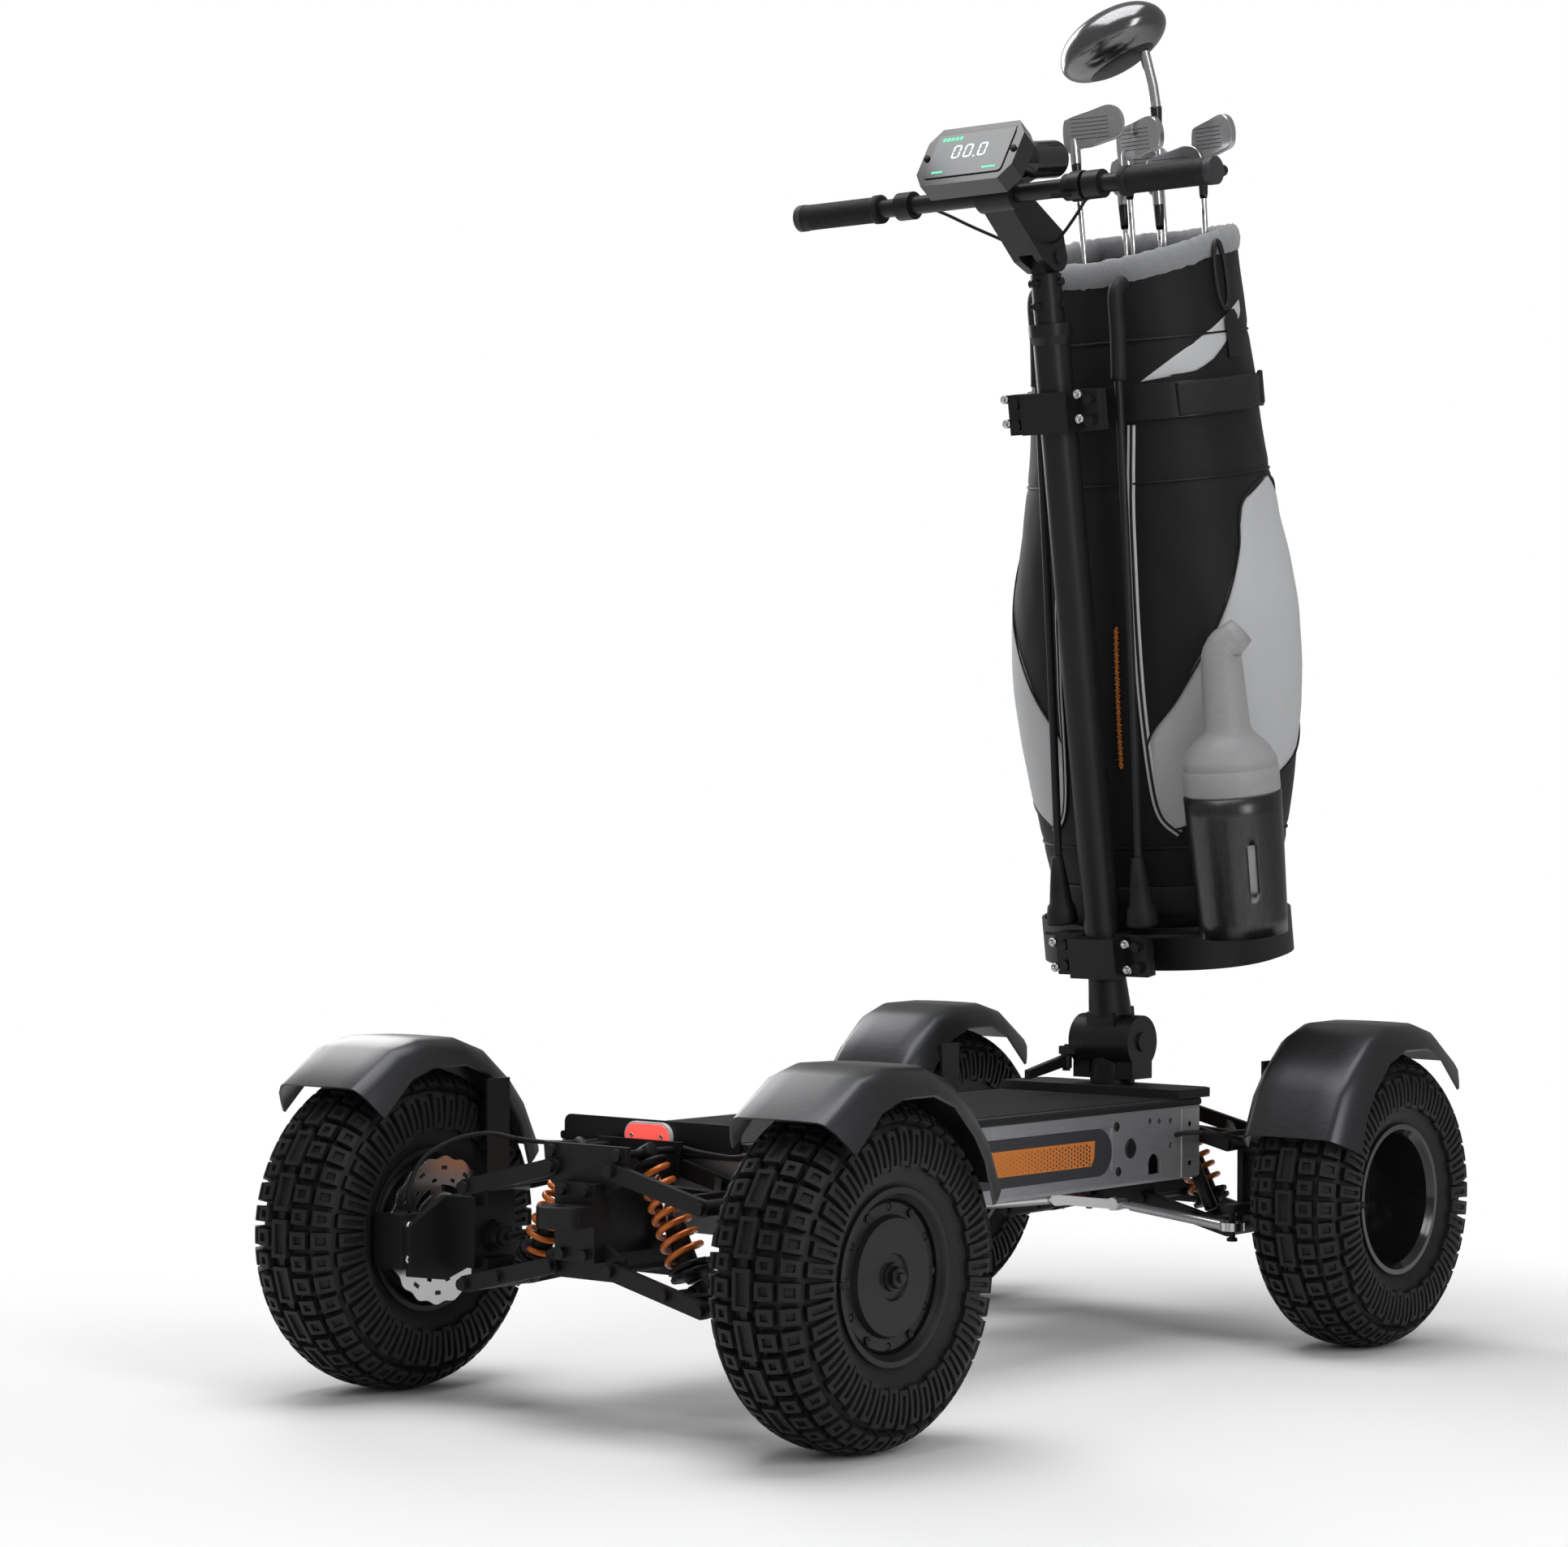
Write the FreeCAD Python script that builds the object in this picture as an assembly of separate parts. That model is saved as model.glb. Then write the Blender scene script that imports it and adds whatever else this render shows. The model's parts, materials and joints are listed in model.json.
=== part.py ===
import FreeCAD, Part
import math
import os

from FreeCAD import Matrix, Placement, Rotation, Vector

# Four-wheeled stand-up electric scooter that carries a golf bag.
# Millimetres.  +Z up, -Y forwards, +X to the rider's left.  The origin is on
# the ground, half way between the axles.

# ---- overall sizes -------------------------------------------------------
wheel_base = 1000.0
track = 644.0
tyre_radius = 180.0
tyre_width = 120.0

# ---- clearances ----------------------------------------------------------
shaft_clear = 0.05
face_clear = 0.3
seat_clear = 0.1

# ---- wheel ---------------------------------------------------------------
tread_depth = 14.0
sidewall = 11.0
shoulder_drop = 25.0
rim_seat_radius = 81.0
rim_wall = 3.0
flange_height = 9.0
flange_width = 4.0
rim_half_width = 50.0
motor_inset = 6.0
motor_cover_step = 7.0
cover_ring_radius = 62.0
cover_screw_radius = 3.0
cover_screw_count = 6
axle_radius = 10.0
stub_radius = 8.0
front_hub_radius = 24.0
dish_depth = 30.0
disc_radius = 80.0
disc_thickness = 3.0
disc_gap = 12.0
disc_lobes = 18

# ---- suspension ----------------------------------------------------------
inner_pivot_x = 42.0
upper_pivot_z = 267.0
lower_pivot_z = 163.0
arm_reach = 124.0
arm_drop = 30.0
arm_height = 18.0
arm_leg_width = 8.0
arm_leg_y = 46.3
pivot_bolt_radius = 4.0
bolt_head_radius = 6.5
bolt_head_height = 6.0
nut_height = 5.0
plate_thickness = 6.0
shock_top_x = 46.0
shock_top_z = 284.0
shock_bottom_x = 118.0
shock_eye_radius = 9.0
spring_top_radius = 19.0
spring_bottom_radius = 24.0
spring_wire = 7.0
damper_radius = 10.0
damper_rod_radius = 5.0
strut_radius = 8.5
kingpin_x = 188.0
kingpin_radius = 6.0
steering_arm = 80.0
steering_stud_radius = 4.0
link_slot_clear = 0.8
hitch_bore_radius = 6.0
hitch_reach = 46.0
hitch_thickness = 22.0

# ---- fender --------------------------------------------------------------
fender_strip_half = 55.0
fender_skirt_half = 79.0
fender_skirt_drop = 38.0
fender_thickness = 2.5

# ---- deck ----------------------------------------------------------------
deck_half_width = 130.0
deck_rear = 438.0
deck_front = 439.0
deck_bottom = 195.0
deck_top = 284.0
deck_wall = 4.0
lid_thickness = 9.0
lid_rim = 14.0
mat_thickness = 5.0
mat_rib_pitch = 8.0
cover_length = 76.0
cover_overhang = 31.0
cover_thickness = 11.0
bumper_half_width = 124.0
bumper_height = 36.0
tail_light_half = 33.0
tail_light_height = 30.0
side_recess = 1.5

# ---- steering and column -------------------------------------------------
neck_y = -441.0
neck_radius = 28.0
stem_shaft_radius = 9.0
fold_z = 357.0
column_lean = 9.3
barrel_radius = 33.0
barrel_half = 20.0
ear_width = 24.0
fold_pin_radius = 8.0
lever_length = 85.0
lever_pin_radius = 3.0
pitman_reach = 50.0
link_z = 160.0
column_radius = 23.0
column_wall = 3.5
column_top = 895.0
collar_radius = 27.0
collar_height = 25.0
inner_radius = 19.0
inner_length = 300.0
riser_pivot_s = 975.0
riser_half_width = 21.6
tongue_half = 10.0
bar_back = 81.7
bar_up = 1054.0
bar_radius = 11.1
bar_half = 306.0
grip_radius = 16.0
grip_length = 128.0
cap_length = 10.0
lever_reach = 42.0

# ---- golf bag and its carrier --------------------------------------------
upper_clamp_s = 762.0
lower_clamp_s = 84.0
clamp_height = 62.0
clamp_half_width = 67.0
clamp_half_depth = 31.0
clamp_bolt_x = 54.0
tray_centre = 142.0
tray_half_x = 165.0
tray_half_y = 112.0
tray_wall = 4.0
tray_height = 54.0
bag_length = 900.0
bag_tilt = 3.8
bag_wall = 6.0
bag_squareness = 2.5
leg_x = 60.0
leg_radius = 5.0
cup_x = -192.0
cup_y = -22.0
cup_radius = 60.0
cup_height = 172.0
cup_wall = 3.0
bottle_spout_radius = 24.0
shaft_radius = 5.0

axle_y = wheel_base / 2
axle_z = tyre_radius
mid_x = track / 2
outer_pivot_x = inner_pivot_x + arm_reach
arm_leg_outer = arm_leg_y + arm_leg_width
strap_height = 38.0


# ---- shape helpers -------------------------------------------------------
def box(x0, x1, y0, y1, z0, z1):
    return Part.makeBox(x1 - x0, y1 - y0, z1 - z0, Vector(x0, y0, z0))


def rod(start, end, radius):
    a = Vector(*start)
    b = Vector(*end)
    return Part.makeCylinder(radius, (b - a).Length, a, b - a)


def tube(start, end, outer, inner):
    return rod(start, end, outer).cut(rod(start, end, inner))


def cone(start, end, radius_start, radius_end):
    a = Vector(*start)
    b = Vector(*end)
    return Part.makeCone(radius_start, radius_end, (b - a).Length, a, b - a)


def cross_bolt(x, z, y_far, radius=pivot_bolt_radius):
    """Bolt along Y with a head at each end."""
    shank = rod((x, -y_far, z), (x, y_far, z), radius)
    heads = [
        rod((x, side * y_far, z), (x, side * (y_far + bolt_head_height), z), bolt_head_radius)
        for side in (-1, 1)
    ]
    return shank.fuse(heads)


def plate_xz(points, y0, y1):
    """Flat plate from an outline in the X-Z plane."""
    corners = [Vector(x, y0, z) for x, z in points]
    face = Part.Face(Part.makePolygon(corners + corners[:1]))
    return face.extrude(Vector(0, y1 - y0, 0))


def plate_yz(points, x0, x1):
    """Flat plate from an outline in the Y-Z plane."""
    corners = [Vector(x0, y, z) for y, z in points]
    face = Part.Face(Part.makePolygon(corners + corners[:1]))
    return face.extrude(Vector(x1 - x0, 0, 0))


def plate_xy(points, z0, z1):
    """Flat plate from an outline in the X-Y plane."""
    corners = [Vector(x, y, z0) for x, y in points]
    face = Part.Face(Part.makePolygon(corners + corners[:1]))
    return face.extrude(Vector(0, 0, z1 - z0))


def spin(edges):
    """Solid of revolution about X from edges drawn in the X-Z plane."""
    face = Part.Face(Part.Wire(edges))
    return face.revolve(Vector(0, 0, 0), Vector(1, 0, 0), 360)


def spin_points(points):
    corners = [Vector(x, 0, r) for x, r in points]
    loop = corners + corners[:1]
    return spin([Part.makeLine(loop[n], loop[n + 1]) for n in range(len(corners))])


def line(a, b):
    return Part.makeLine(Vector(a[0], 0, a[1]), Vector(b[0], 0, b[1]))


def arc(a, middle, b):
    points = [Vector(p[0], 0, p[1]) for p in (a, middle, b)]
    return Part.Arc(*points).toShape()


def beam(start, end, height, y0, y1):
    """Flat bar in an X-Z plane with round ends, from one pivot to the next."""
    a = Vector(start[0], 0, start[1])
    b = Vector(end[0], 0, end[1])
    across = (b - a).cross(Vector(0, 1, 0)).normalize() * (height / 2)
    body = plate_xz([(p.x, p.z) for p in (a + across, b + across, b - across, a - across)], y0, y1)
    ends = [rod((p.x, y0, p.z), (p.x, y1, p.z), height / 2) for p in (a, b)]
    return body.fuse(ends).removeSplitter()


def squircle(half_x, half_y, centre_y, z, count=20):
    """Closed rounded outline, between an ellipse and a rectangle."""
    points = []
    for n in range(count):
        angle = 2 * math.pi * n / count
        c = math.cos(angle)
        s = math.sin(angle)
        x = half_x * math.copysign(abs(c) ** (2 / bag_squareness), c)
        y = half_y * math.copysign(abs(s) ** (2 / bag_squareness), s)
        points.append(Vector(x, centre_y + y, z))
    curve = Part.BSplineCurve()
    curve.interpolate(points, PeriodicFlag=True)
    return Part.Wire([curve.toShape()])


def cord(points, radius):
    """Round tube along straight runs that are joined by tangent arcs."""
    p = [Vector(*point) for point in points]
    edges = []
    here = p[0]
    for n in range(1, len(p) - 1):
        back = p[n - 1] - p[n]
        ahead = p[n + 1] - p[n]
        turn = math.pi - back.getAngle(ahead)
        cut = 0.45 * min(back.Length, ahead.Length)
        bend = cut / math.tan(turn / 2)
        a = p[n] + back.normalize() * cut
        b = p[n] + ahead.normalize() * cut
        to_centre = (back + ahead).normalize()
        centre = p[n] + to_centre * (bend / math.cos(turn / 2))
        middle = centre - to_centre * bend
        edges.append(Part.makeLine(here, a))
        edges.append(Part.Arc(a, middle, b).toShape())
        here = b
    edges.append(Part.makeLine(here, p[-1]))
    path = Part.Wire(edges)
    ring = Part.Wire([Part.makeCircle(radius, p[0], p[1] - p[0])])
    return path.makePipeShell([ring], True, False)


def mirror_x(shape):
    return shape.mirror(Vector(0, 0, 0), Vector(1, 0, 0))


def both_sides(shape):
    return [shape, mirror_x(shape)]


nodes = {}


def add(node, *shapes):
    """Put separate solids in a named node."""
    for shape in shapes:
        nodes.setdefault(node, []).extend(shape.Solids)


# ---- wheels (axis along X, outboard is +X, centre at the origin) ----------
def tyre():
    crown = tyre_radius
    edge = tyre_width / 2
    shoulder = crown - shoulder_drop
    bead = rim_seat_radius + seat_clear
    lip = rim_half_width - seat_clear
    lip_top = rim_seat_radius + flange_height + 1.5
    flat = edge - shoulder_drop + 3
    inner_edge = edge - sidewall
    inner_crown = crown - tread_depth
    half = [
        arc((flat, crown), (edge - 7, crown - 7), (edge, shoulder)),
        arc((edge, shoulder), (edge + 0.4, (shoulder + lip_top) / 2 + 4), (lip, lip_top)),
        line((lip, lip_top), (lip, bead)),
        line((lip, bead), (lip - 10, bead)),
        line((lip - 10, bead), (inner_edge - 6, lip_top + 8)),
        arc((inner_edge - 6, lip_top + 8), (inner_edge, shoulder - 24), (inner_edge - 1, shoulder)),
        arc((inner_edge - 1, shoulder), (inner_edge - 5, inner_crown - 4), (flat - 3, inner_crown)),
    ]
    middle = Vector(0, 0, 0)
    other = [edge_shape.mirror(middle, Vector(1, 0, 0)) for edge_shape in half]
    joins = [
        line((-flat, crown), (flat, crown)),
        line((-flat + 3, inner_crown), (flat - 3, inner_crown)),
    ]
    ordered = Part.__sortEdges__(half + other + joins)
    return spin(ordered)


def rim_barrel():
    seat = rim_seat_radius
    inner = seat - rim_wall
    top = seat + flange_height
    w = rim_half_width
    side = [(w + flange_width, top), (w + flange_width, seat + 3), (w - 4, inner)]
    back = [(-x, r) for x, r in reversed(side)]
    return spin_points(side + back + [(-w, top), (-w, seat), (w, seat), (w, top)])


def hub_motor():
    outer = rim_seat_radius - rim_wall
    face = rim_half_width - motor_inset
    ring = cover_ring_radius
    profile = [
        (-rim_half_width + motor_inset, axle_radius + shaft_clear),
        (-rim_half_width + motor_inset, outer - 8),
        (-rim_half_width + motor_inset + 8, outer),
        (face - 4, outer),
        (face, outer - 4),
        (face, ring),
        (face + motor_cover_step, ring - 3),
        (face + motor_cover_step, 24),
        (face + motor_cover_step - 3, 22),
        (face + motor_cover_step - 3, 15),
        (face + motor_cover_step + 1, 14),
        (face + motor_cover_step + 1, axle_radius + shaft_clear),
    ]
    body = spin_points(profile)
    for n in range(cover_screw_count):
        angle = 2 * math.pi * (n + 0.5) / cover_screw_count
        y = (ring + 8) * math.cos(angle)
        z = (ring + 8) * math.sin(angle)
        body = body.cut(rod((face - 3, y, z), (face + 1, y, z), cover_screw_radius + 1.2))
    return body


def cover_screws():
    face = rim_half_width - motor_inset
    screws = []
    for n in range(cover_screw_count):
        angle = 2 * math.pi * (n + 0.5) / cover_screw_count
        y = (cover_ring_radius + 8) * math.cos(angle)
        z = (cover_ring_radius + 8) * math.sin(angle)
        screws.append(rod((face - 3, y, z), (face - 0.4, y, z), cover_screw_radius))
    return screws


def brake_disc():
    x0 = -rim_half_width - flange_width - disc_gap - disc_thickness
    x1 = x0 + disc_thickness
    band = tube((x0, 0, 0), (x1, 0, 0), disc_radius - 2, disc_radius - 20)
    lobe_radius = 7.0
    lobes = []
    for n in range(disc_lobes):
        angle = 2 * math.pi * n / disc_lobes
        y = (disc_radius - lobe_radius) * math.cos(angle)
        z = (disc_radius - lobe_radius) * math.sin(angle)
        lobes.append(rod((x0, y, z), (x1, y, z), lobe_radius))
    carrier = tube((x0, 0, 0), (x1, 0, 0), 32, 22)
    spokes = []
    for n in range(disc_lobes // 3):
        spoke = box(x0, x1, -4, 4, 30, disc_radius - 18)
        spoke.rotate(Vector(0, 0, 0), Vector(1, 0, 0), 360 * n / (disc_lobes // 3))
        spokes.append(spoke)
    disc = band.fuse(lobes + [carrier] + spokes)
    for n in range(disc_lobes):
        angle = 2 * math.pi * (n + 0.5) / disc_lobes
        reach = disc_radius - (8 if n % 2 else 14)
        y = reach * math.cos(angle)
        z = reach * math.sin(angle)
        disc = disc.cut(rod((x0 - 1, y, z), (x1 + 1, y, z), 2.6))
    post = tube((x1, 0, 0), (-rim_half_width + motor_inset, 0, 0), 30, 22)
    return [disc.removeSplitter(), post]


def front_wheel_centre():
    inner = rim_seat_radius - rim_wall
    back = -dish_depth
    hub = front_hub_radius
    bore = stub_radius + shaft_clear
    profile = [
        (back - 8, bore),
        (back - 8, hub),
        (back - 4, hub + 3),
        (back - 4, inner - 12),
        (back - 12, inner),
        (back - 4, inner),
        (back, inner - 12),
        (back, hub + 6),
        (back + 14, hub - 4),
        (back + 14, bore),
    ]
    return spin_points(profile)


# ---- fender (rides over one wheel, +Y is the outboard end) -----------------
def fender_curve():
    """Radius of the top strip at each angle from straight up, outer end first."""
    angles = [37, 28, 15, 0, -12, -23, -34.5, -47, -55.5, -64.5]
    radii = [203, 211, 216, 218, 218, 216, 209, 198, 194, 190.5]
    grow = tyre_radius / 180.0
    return [(math.radians(a), r * grow) for a, r in zip(angles, radii)]


def fender():
    half = fender_strip_half
    skirt = fender_skirt_half
    drop = fender_skirt_drop
    t = fender_thickness
    slope = math.atan2(drop, skirt - half)
    inner_half = half + t * math.tan(slope / 2) - t * math.sin(slope) * 1.15
    sections = []
    for angle, radius in fender_curve():
        outline = [
            (-skirt, radius - drop),
            (-half, radius),
            (half, radius),
            (skirt, radius - drop),
            (skirt - t * 1.18, radius - drop),
            (inner_half, radius - t),
            (-inner_half, radius - t),
            (-skirt + t * 1.18, radius - drop),
        ]
        ring = [Vector(x, r * math.sin(angle), r * math.cos(angle)) for x, r in outline]
        sections.append(Part.makePolygon(ring + ring[:1]))
    return Part.makeLoft(sections, True, True)


# ---- corner of the vehicle (outboard is +X, the bumper end is +Y) ----------
def arm_braces(z_of, start_x, cross_x):
    """Cross bar and V ribs that join the two legs of an arm."""
    thick = arm_height - 6
    braces = []
    for x in cross_x:
        z = z_of(x)
        braces.append(box(x - 4, x + 4, -arm_leg_y - 1, arm_leg_y + 1, z - thick / 2, z + thick / 2))
    tip = cross_x[-1]
    for side in (-1, 1):
        outline = [
            (start_x, side * (arm_leg_y + 1)),
            (start_x + 10, side * (arm_leg_y + 1)),
            (tip + 1, side * 4),
            (tip + 1, -side * 3),
            (tip - 5, side * 1),
        ]
        z = z_of((start_x + tip) / 2)
        rib = plate_xy(outline, z - thick / 2, z + thick / 2)
        tilt = math.degrees(math.atan2(arm_drop, arm_reach))
        rib.rotate(Vector((start_x + tip) / 2, 0, z), Vector(0, 1, 0), tilt)
        braces.append(rib)
    return braces


def suspension_arm(pivot_z, cross_x, rib_start):
    inner = (inner_pivot_x, pivot_z)
    outer = (outer_pivot_x, pivot_z - arm_drop)

    def z_of(x):
        return pivot_z - arm_drop * (x - inner_pivot_x) / arm_reach

    legs = [
        beam(inner, outer, arm_height, arm_leg_y, arm_leg_outer),
        beam(inner, outer, arm_height, -arm_leg_outer, -arm_leg_y),
    ]
    arm = legs[0].fuse([legs[1]] + arm_braces(z_of, rib_start, cross_x))
    for x, z in (inner, outer):
        arm = arm.cut(
            rod((x, -arm_leg_outer - 1, z), (x, arm_leg_outer + 1, z), pivot_bolt_radius + shaft_clear)
        )
    return arm.removeSplitter()


def shock_bottom_z():
    share = (shock_bottom_x - inner_pivot_x) / arm_reach
    return lower_pivot_z - arm_drop * share


def upper_arm():
    return suspension_arm(upper_pivot_z, [outer_pivot_x - 24], 98)


def lower_arm():
    arm = suspension_arm(lower_pivot_z, [outer_pivot_x - 22], 132)
    z = shock_bottom_z()
    hole = rod(
        (shock_bottom_x, -arm_leg_outer - 1, z),
        (shock_bottom_x, arm_leg_outer + 1, z),
        pivot_bolt_radius,
    )
    return arm.cut(hole)


def shock():
    """Coil-over unit between the tower and the lower arm."""
    top = Vector(shock_top_x, 0, shock_top_z)
    bottom = Vector(shock_bottom_x, 0, shock_bottom_z())
    along = (bottom - top).normalize()
    length = (bottom - top).Length

    def at(distance):
        p = top + along * distance
        return (p.x, p.y, p.z)

    eye = shock_eye_radius
    hole = pivot_bolt_radius + shaft_clear
    solids = []
    upper_eye = rod((top.x, -eye, top.z), (top.x, eye, top.z), eye)
    upper_eye = upper_eye.fuse(rod(at(eye - 3), at(24), damper_rod_radius))
    upper_eye = upper_eye.fuse(rod(at(eye + 3), at(eye + 7), spring_top_radius - 1))
    upper_eye = upper_eye.cut(rod((top.x, -eye - 1, top.z), (top.x, eye + 1, top.z), hole))
    solids.append(upper_eye)
    solids.append(rod(at(24), at(length * 0.55), damper_rod_radius))
    body = rod(at(length * 0.55), at(length - eye + 3), damper_radius)
    lower_eye = rod((bottom.x, -eye, bottom.z), (bottom.x, eye, bottom.z), eye)
    body = body.fuse([lower_eye, rod(at(length - 36), at(length - 30), spring_bottom_radius)])
    body = body.cut(rod((bottom.x, -eye - 1, bottom.z), (bottom.x, eye + 1, bottom.z), hole))
    solids.append(body)
    start = at(eye + 7)
    end = at(length - 36)
    outer = cone(start, end, spring_top_radius, spring_bottom_radius)
    inner = cone(start, end, spring_top_radius - spring_wire, spring_bottom_radius - spring_wire)
    solids.append(outer.cut(inner))
    return solids


def strut():
    """Slim gas strut beside the front spring."""
    y = -arm_leg_y + strut_radius + 4
    top = (shock_top_x + 26, y, shock_top_z - 10)
    bottom = (outer_pivot_x - 34, y, shock_bottom_z() + 12)
    middle = tuple(a + 0.5 * (b - a) for a, b in zip(top, bottom))
    sleeve = tube(middle, bottom, strut_radius, strut_radius - 3)
    return [rod(top, middle, strut_radius - 3.5).fuse(sleeve)]


def pivot_barrels():
    barrels = []
    for z in (upper_pivot_z - arm_drop, lower_pivot_z - arm_drop):
        barrels.append(
            rod(
                (outer_pivot_x, -arm_leg_y + face_clear, z),
                (outer_pivot_x, arm_leg_y - face_clear, z),
                8.5,
            )
        )
    return barrels


def pivot_bolts():
    bolts = []
    for z in (upper_pivot_z - arm_drop, lower_pivot_z - arm_drop):
        bolts.append(cross_bolt(outer_pivot_x, z, arm_leg_outer + face_clear))
    return bolts


def drill_pivots(shape):
    for z in (upper_pivot_z - arm_drop, lower_pivot_z - arm_drop):
        shape = shape.cut(
            rod((outer_pivot_x, -arm_leg_y, z), (outer_pivot_x, arm_leg_y, z), pivot_bolt_radius)
        )
    return shape


def fender_stay(block_x, block_z):
    """Bent flat bar from the knuckle up to the inner skirt of the fender."""
    bar_x = mid_x - fender_skirt_half - face_clear
    shelf = plate_xy(
        [
            (block_x - 16, -20),
            (block_x, -20),
            (bar_x, -58),
            (bar_x, -94),
            (bar_x - 5, -94),
            (block_x - 16, -44),
        ],
        block_z - 6,
        block_z,
    )
    top = axle_z + tyre_radius - 16
    upright = box(bar_x - 4, bar_x, -94, -58, block_z - 6, top)
    return shelf.fuse(upright).removeSplitter()


def rear_knuckle():
    top = upper_pivot_z - arm_drop
    low = lower_pivot_z - arm_drop
    x0 = outer_pivot_x + 6
    x1 = outer_pivot_x + 50
    block = box(x0, x1, -32, 32, low + 14, top - 14)
    webs = [
        box(outer_pivot_x - 4, x0 + 14, -22, 22, top - 24, top),
        box(outer_pivot_x - 4, x0 + 14, -22, 22, low, low + 24),
    ]
    plate = plate_yz(
        [
            (-30, low + 16),
            (30, low - 2),
            (84, low + 6),
            (88, low + 60),
            (30, top - 14),
            (-30, top - 16),
        ],
        x1,
        x1 + 8,
    )
    knuckle = block.fuse(webs + pivot_barrels() + [plate, fender_stay(x1 + 8, top - 16)])
    knuckle = drill_pivots(knuckle)
    knuckle = knuckle.cut(rod((x0 - 20, 0, axle_z), (x1 + 20, 0, axle_z), axle_radius))
    return knuckle.removeSplitter()


def rear_axle():
    end = mid_x + rim_half_width - motor_inset - 2
    shaft = rod((outer_pivot_x - 12, 0, axle_z), (end, 0, axle_z), axle_radius)
    flange = rod((outer_pivot_x + 2, 0, axle_z), (outer_pivot_x + 5.7, 0, axle_z), 17)
    nut = rod((outer_pivot_x - 8, 0, axle_z), (outer_pivot_x + 2, 0, axle_z), 14)
    return shaft.fuse([flange, nut]).removeSplitter()


def disc_x():
    return mid_x - rim_half_width - flange_width - disc_gap - disc_thickness / 2


def caliper():
    low = lower_pivot_z - arm_drop
    x0 = outer_pivot_x + 50 + 8 + seat_clear
    x1 = mid_x - rim_half_width - flange_width - 3
    body = box(x0, x1, 50, 92, low + 14, low + 72)
    slot = disc_x()
    body = body.cut(
        box(
            slot - disc_thickness / 2 - 1.2,
            slot + disc_thickness / 2 + 1.2,
            40,
            disc_radius + 2,
            low,
            low + 90,
        )
    )
    return body


def front_upright():
    """C-shaped carrier that holds the kingpin."""
    top = upper_pivot_z - arm_drop
    low = lower_pivot_z - arm_drop
    back = box(outer_pivot_x - 3, outer_pivot_x + 5, -26, 26, low, top)
    ears = []
    for z0, z1 in ((low + 15, low + 25), (top - 25, top - 15)):
        ear = box(outer_pivot_x, kingpin_x, -16, 16, z0, z1)
        ears.append(ear)
        ears.append(rod((kingpin_x, 0, z0), (kingpin_x, 0, z1), 16))
    carrier = back.fuse(ears + pivot_barrels())
    carrier = drill_pivots(carrier)
    pin = rod((kingpin_x, 0, low + 5), (kingpin_x, 0, top - 5), kingpin_radius)
    return carrier.cut(pin).removeSplitter()


def kingpin():
    top = upper_pivot_z - arm_drop
    low = lower_pivot_z - arm_drop
    pin = rod((kingpin_x, 0, low + 12), (kingpin_x, 0, top - 12), kingpin_radius)
    heads = [
        rod((kingpin_x, 0, low + 9), (kingpin_x, 0, low + 15), 10),
        rod((kingpin_x, 0, top - 15), (kingpin_x, 0, top - 9), 10),
    ]
    return pin.fuse(heads)


def front_knuckle():
    top = upper_pivot_z - arm_drop
    low = lower_pivot_z - arm_drop
    z0 = low + 25 + face_clear
    z1 = top - 25 - face_clear
    barrel = rod((kingpin_x, 0, z0), (kingpin_x, 0, z1), 14)
    body = box(kingpin_x, kingpin_x + 34, -14, 14, z0, z1)
    arm = plate_xy(
        [
            (kingpin_x + 4, 8),
            (kingpin_x + 24, -6),
            (kingpin_x + 12, -steering_arm),
            (kingpin_x - 8, -steering_arm),
        ],
        z0,
        z0 + 9,
    )
    eye = rod((kingpin_x + 2, -steering_arm, z0), (kingpin_x + 2, -steering_arm, z0 + 9), 10)
    stud = rod(
        (kingpin_x + 2, -steering_arm, z0 - 34),
        (kingpin_x + 2, -steering_arm, z0),
        steering_stud_radius,
    )
    keeper = rod((kingpin_x + 2, -steering_arm, z0 - 36), (kingpin_x + 2, -steering_arm, z0 - 32), 6.5)
    post = box(kingpin_x + 17, kingpin_x + 34, -14, 14, z1 - 4, top - 16)
    stay = fender_stay(kingpin_x + 34, top - 16)
    knuckle = barrel.fuse([body, arm, eye, stud, keeper, post, stay])
    bore = rod((kingpin_x, 0, low), (kingpin_x, 0, top), kingpin_radius + shaft_clear)
    knuckle = knuckle.cut(bore)
    knuckle = knuckle.cut(rod((kingpin_x + 12, 0, axle_z), (kingpin_x + 60, 0, axle_z), stub_radius))
    return knuckle.removeSplitter()


def front_stub():
    end = mid_x - dish_depth + 14 + face_clear
    shaft = rod((kingpin_x + 12, 0, axle_z), (end + 16, 0, axle_z), stub_radius)
    collar = rod((kingpin_x + 34, 0, axle_z), (mid_x - dish_depth - 8 - face_clear, 0, axle_z), 13)
    nut = rod((end, 0, axle_z), (end + 9, 0, axle_z), 12)
    return shaft.fuse([collar, nut]).removeSplitter()


def place(shape, side, end):
    """Move a corner shape, built for rear left, to its own corner."""
    moved = shape.copy()
    moved.translate(Vector(0, axle_y, 0))
    if side < 0:
        moved = mirror_x(moved)
    if end < 0:
        moved = moved.mirror(Vector(0, 0, 0), Vector(0, 1, 0))
    return moved


def on_wheel(shape):
    moved = shape.copy()
    moved.translate(Vector(mid_x, 0, axle_z))
    return moved


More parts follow.
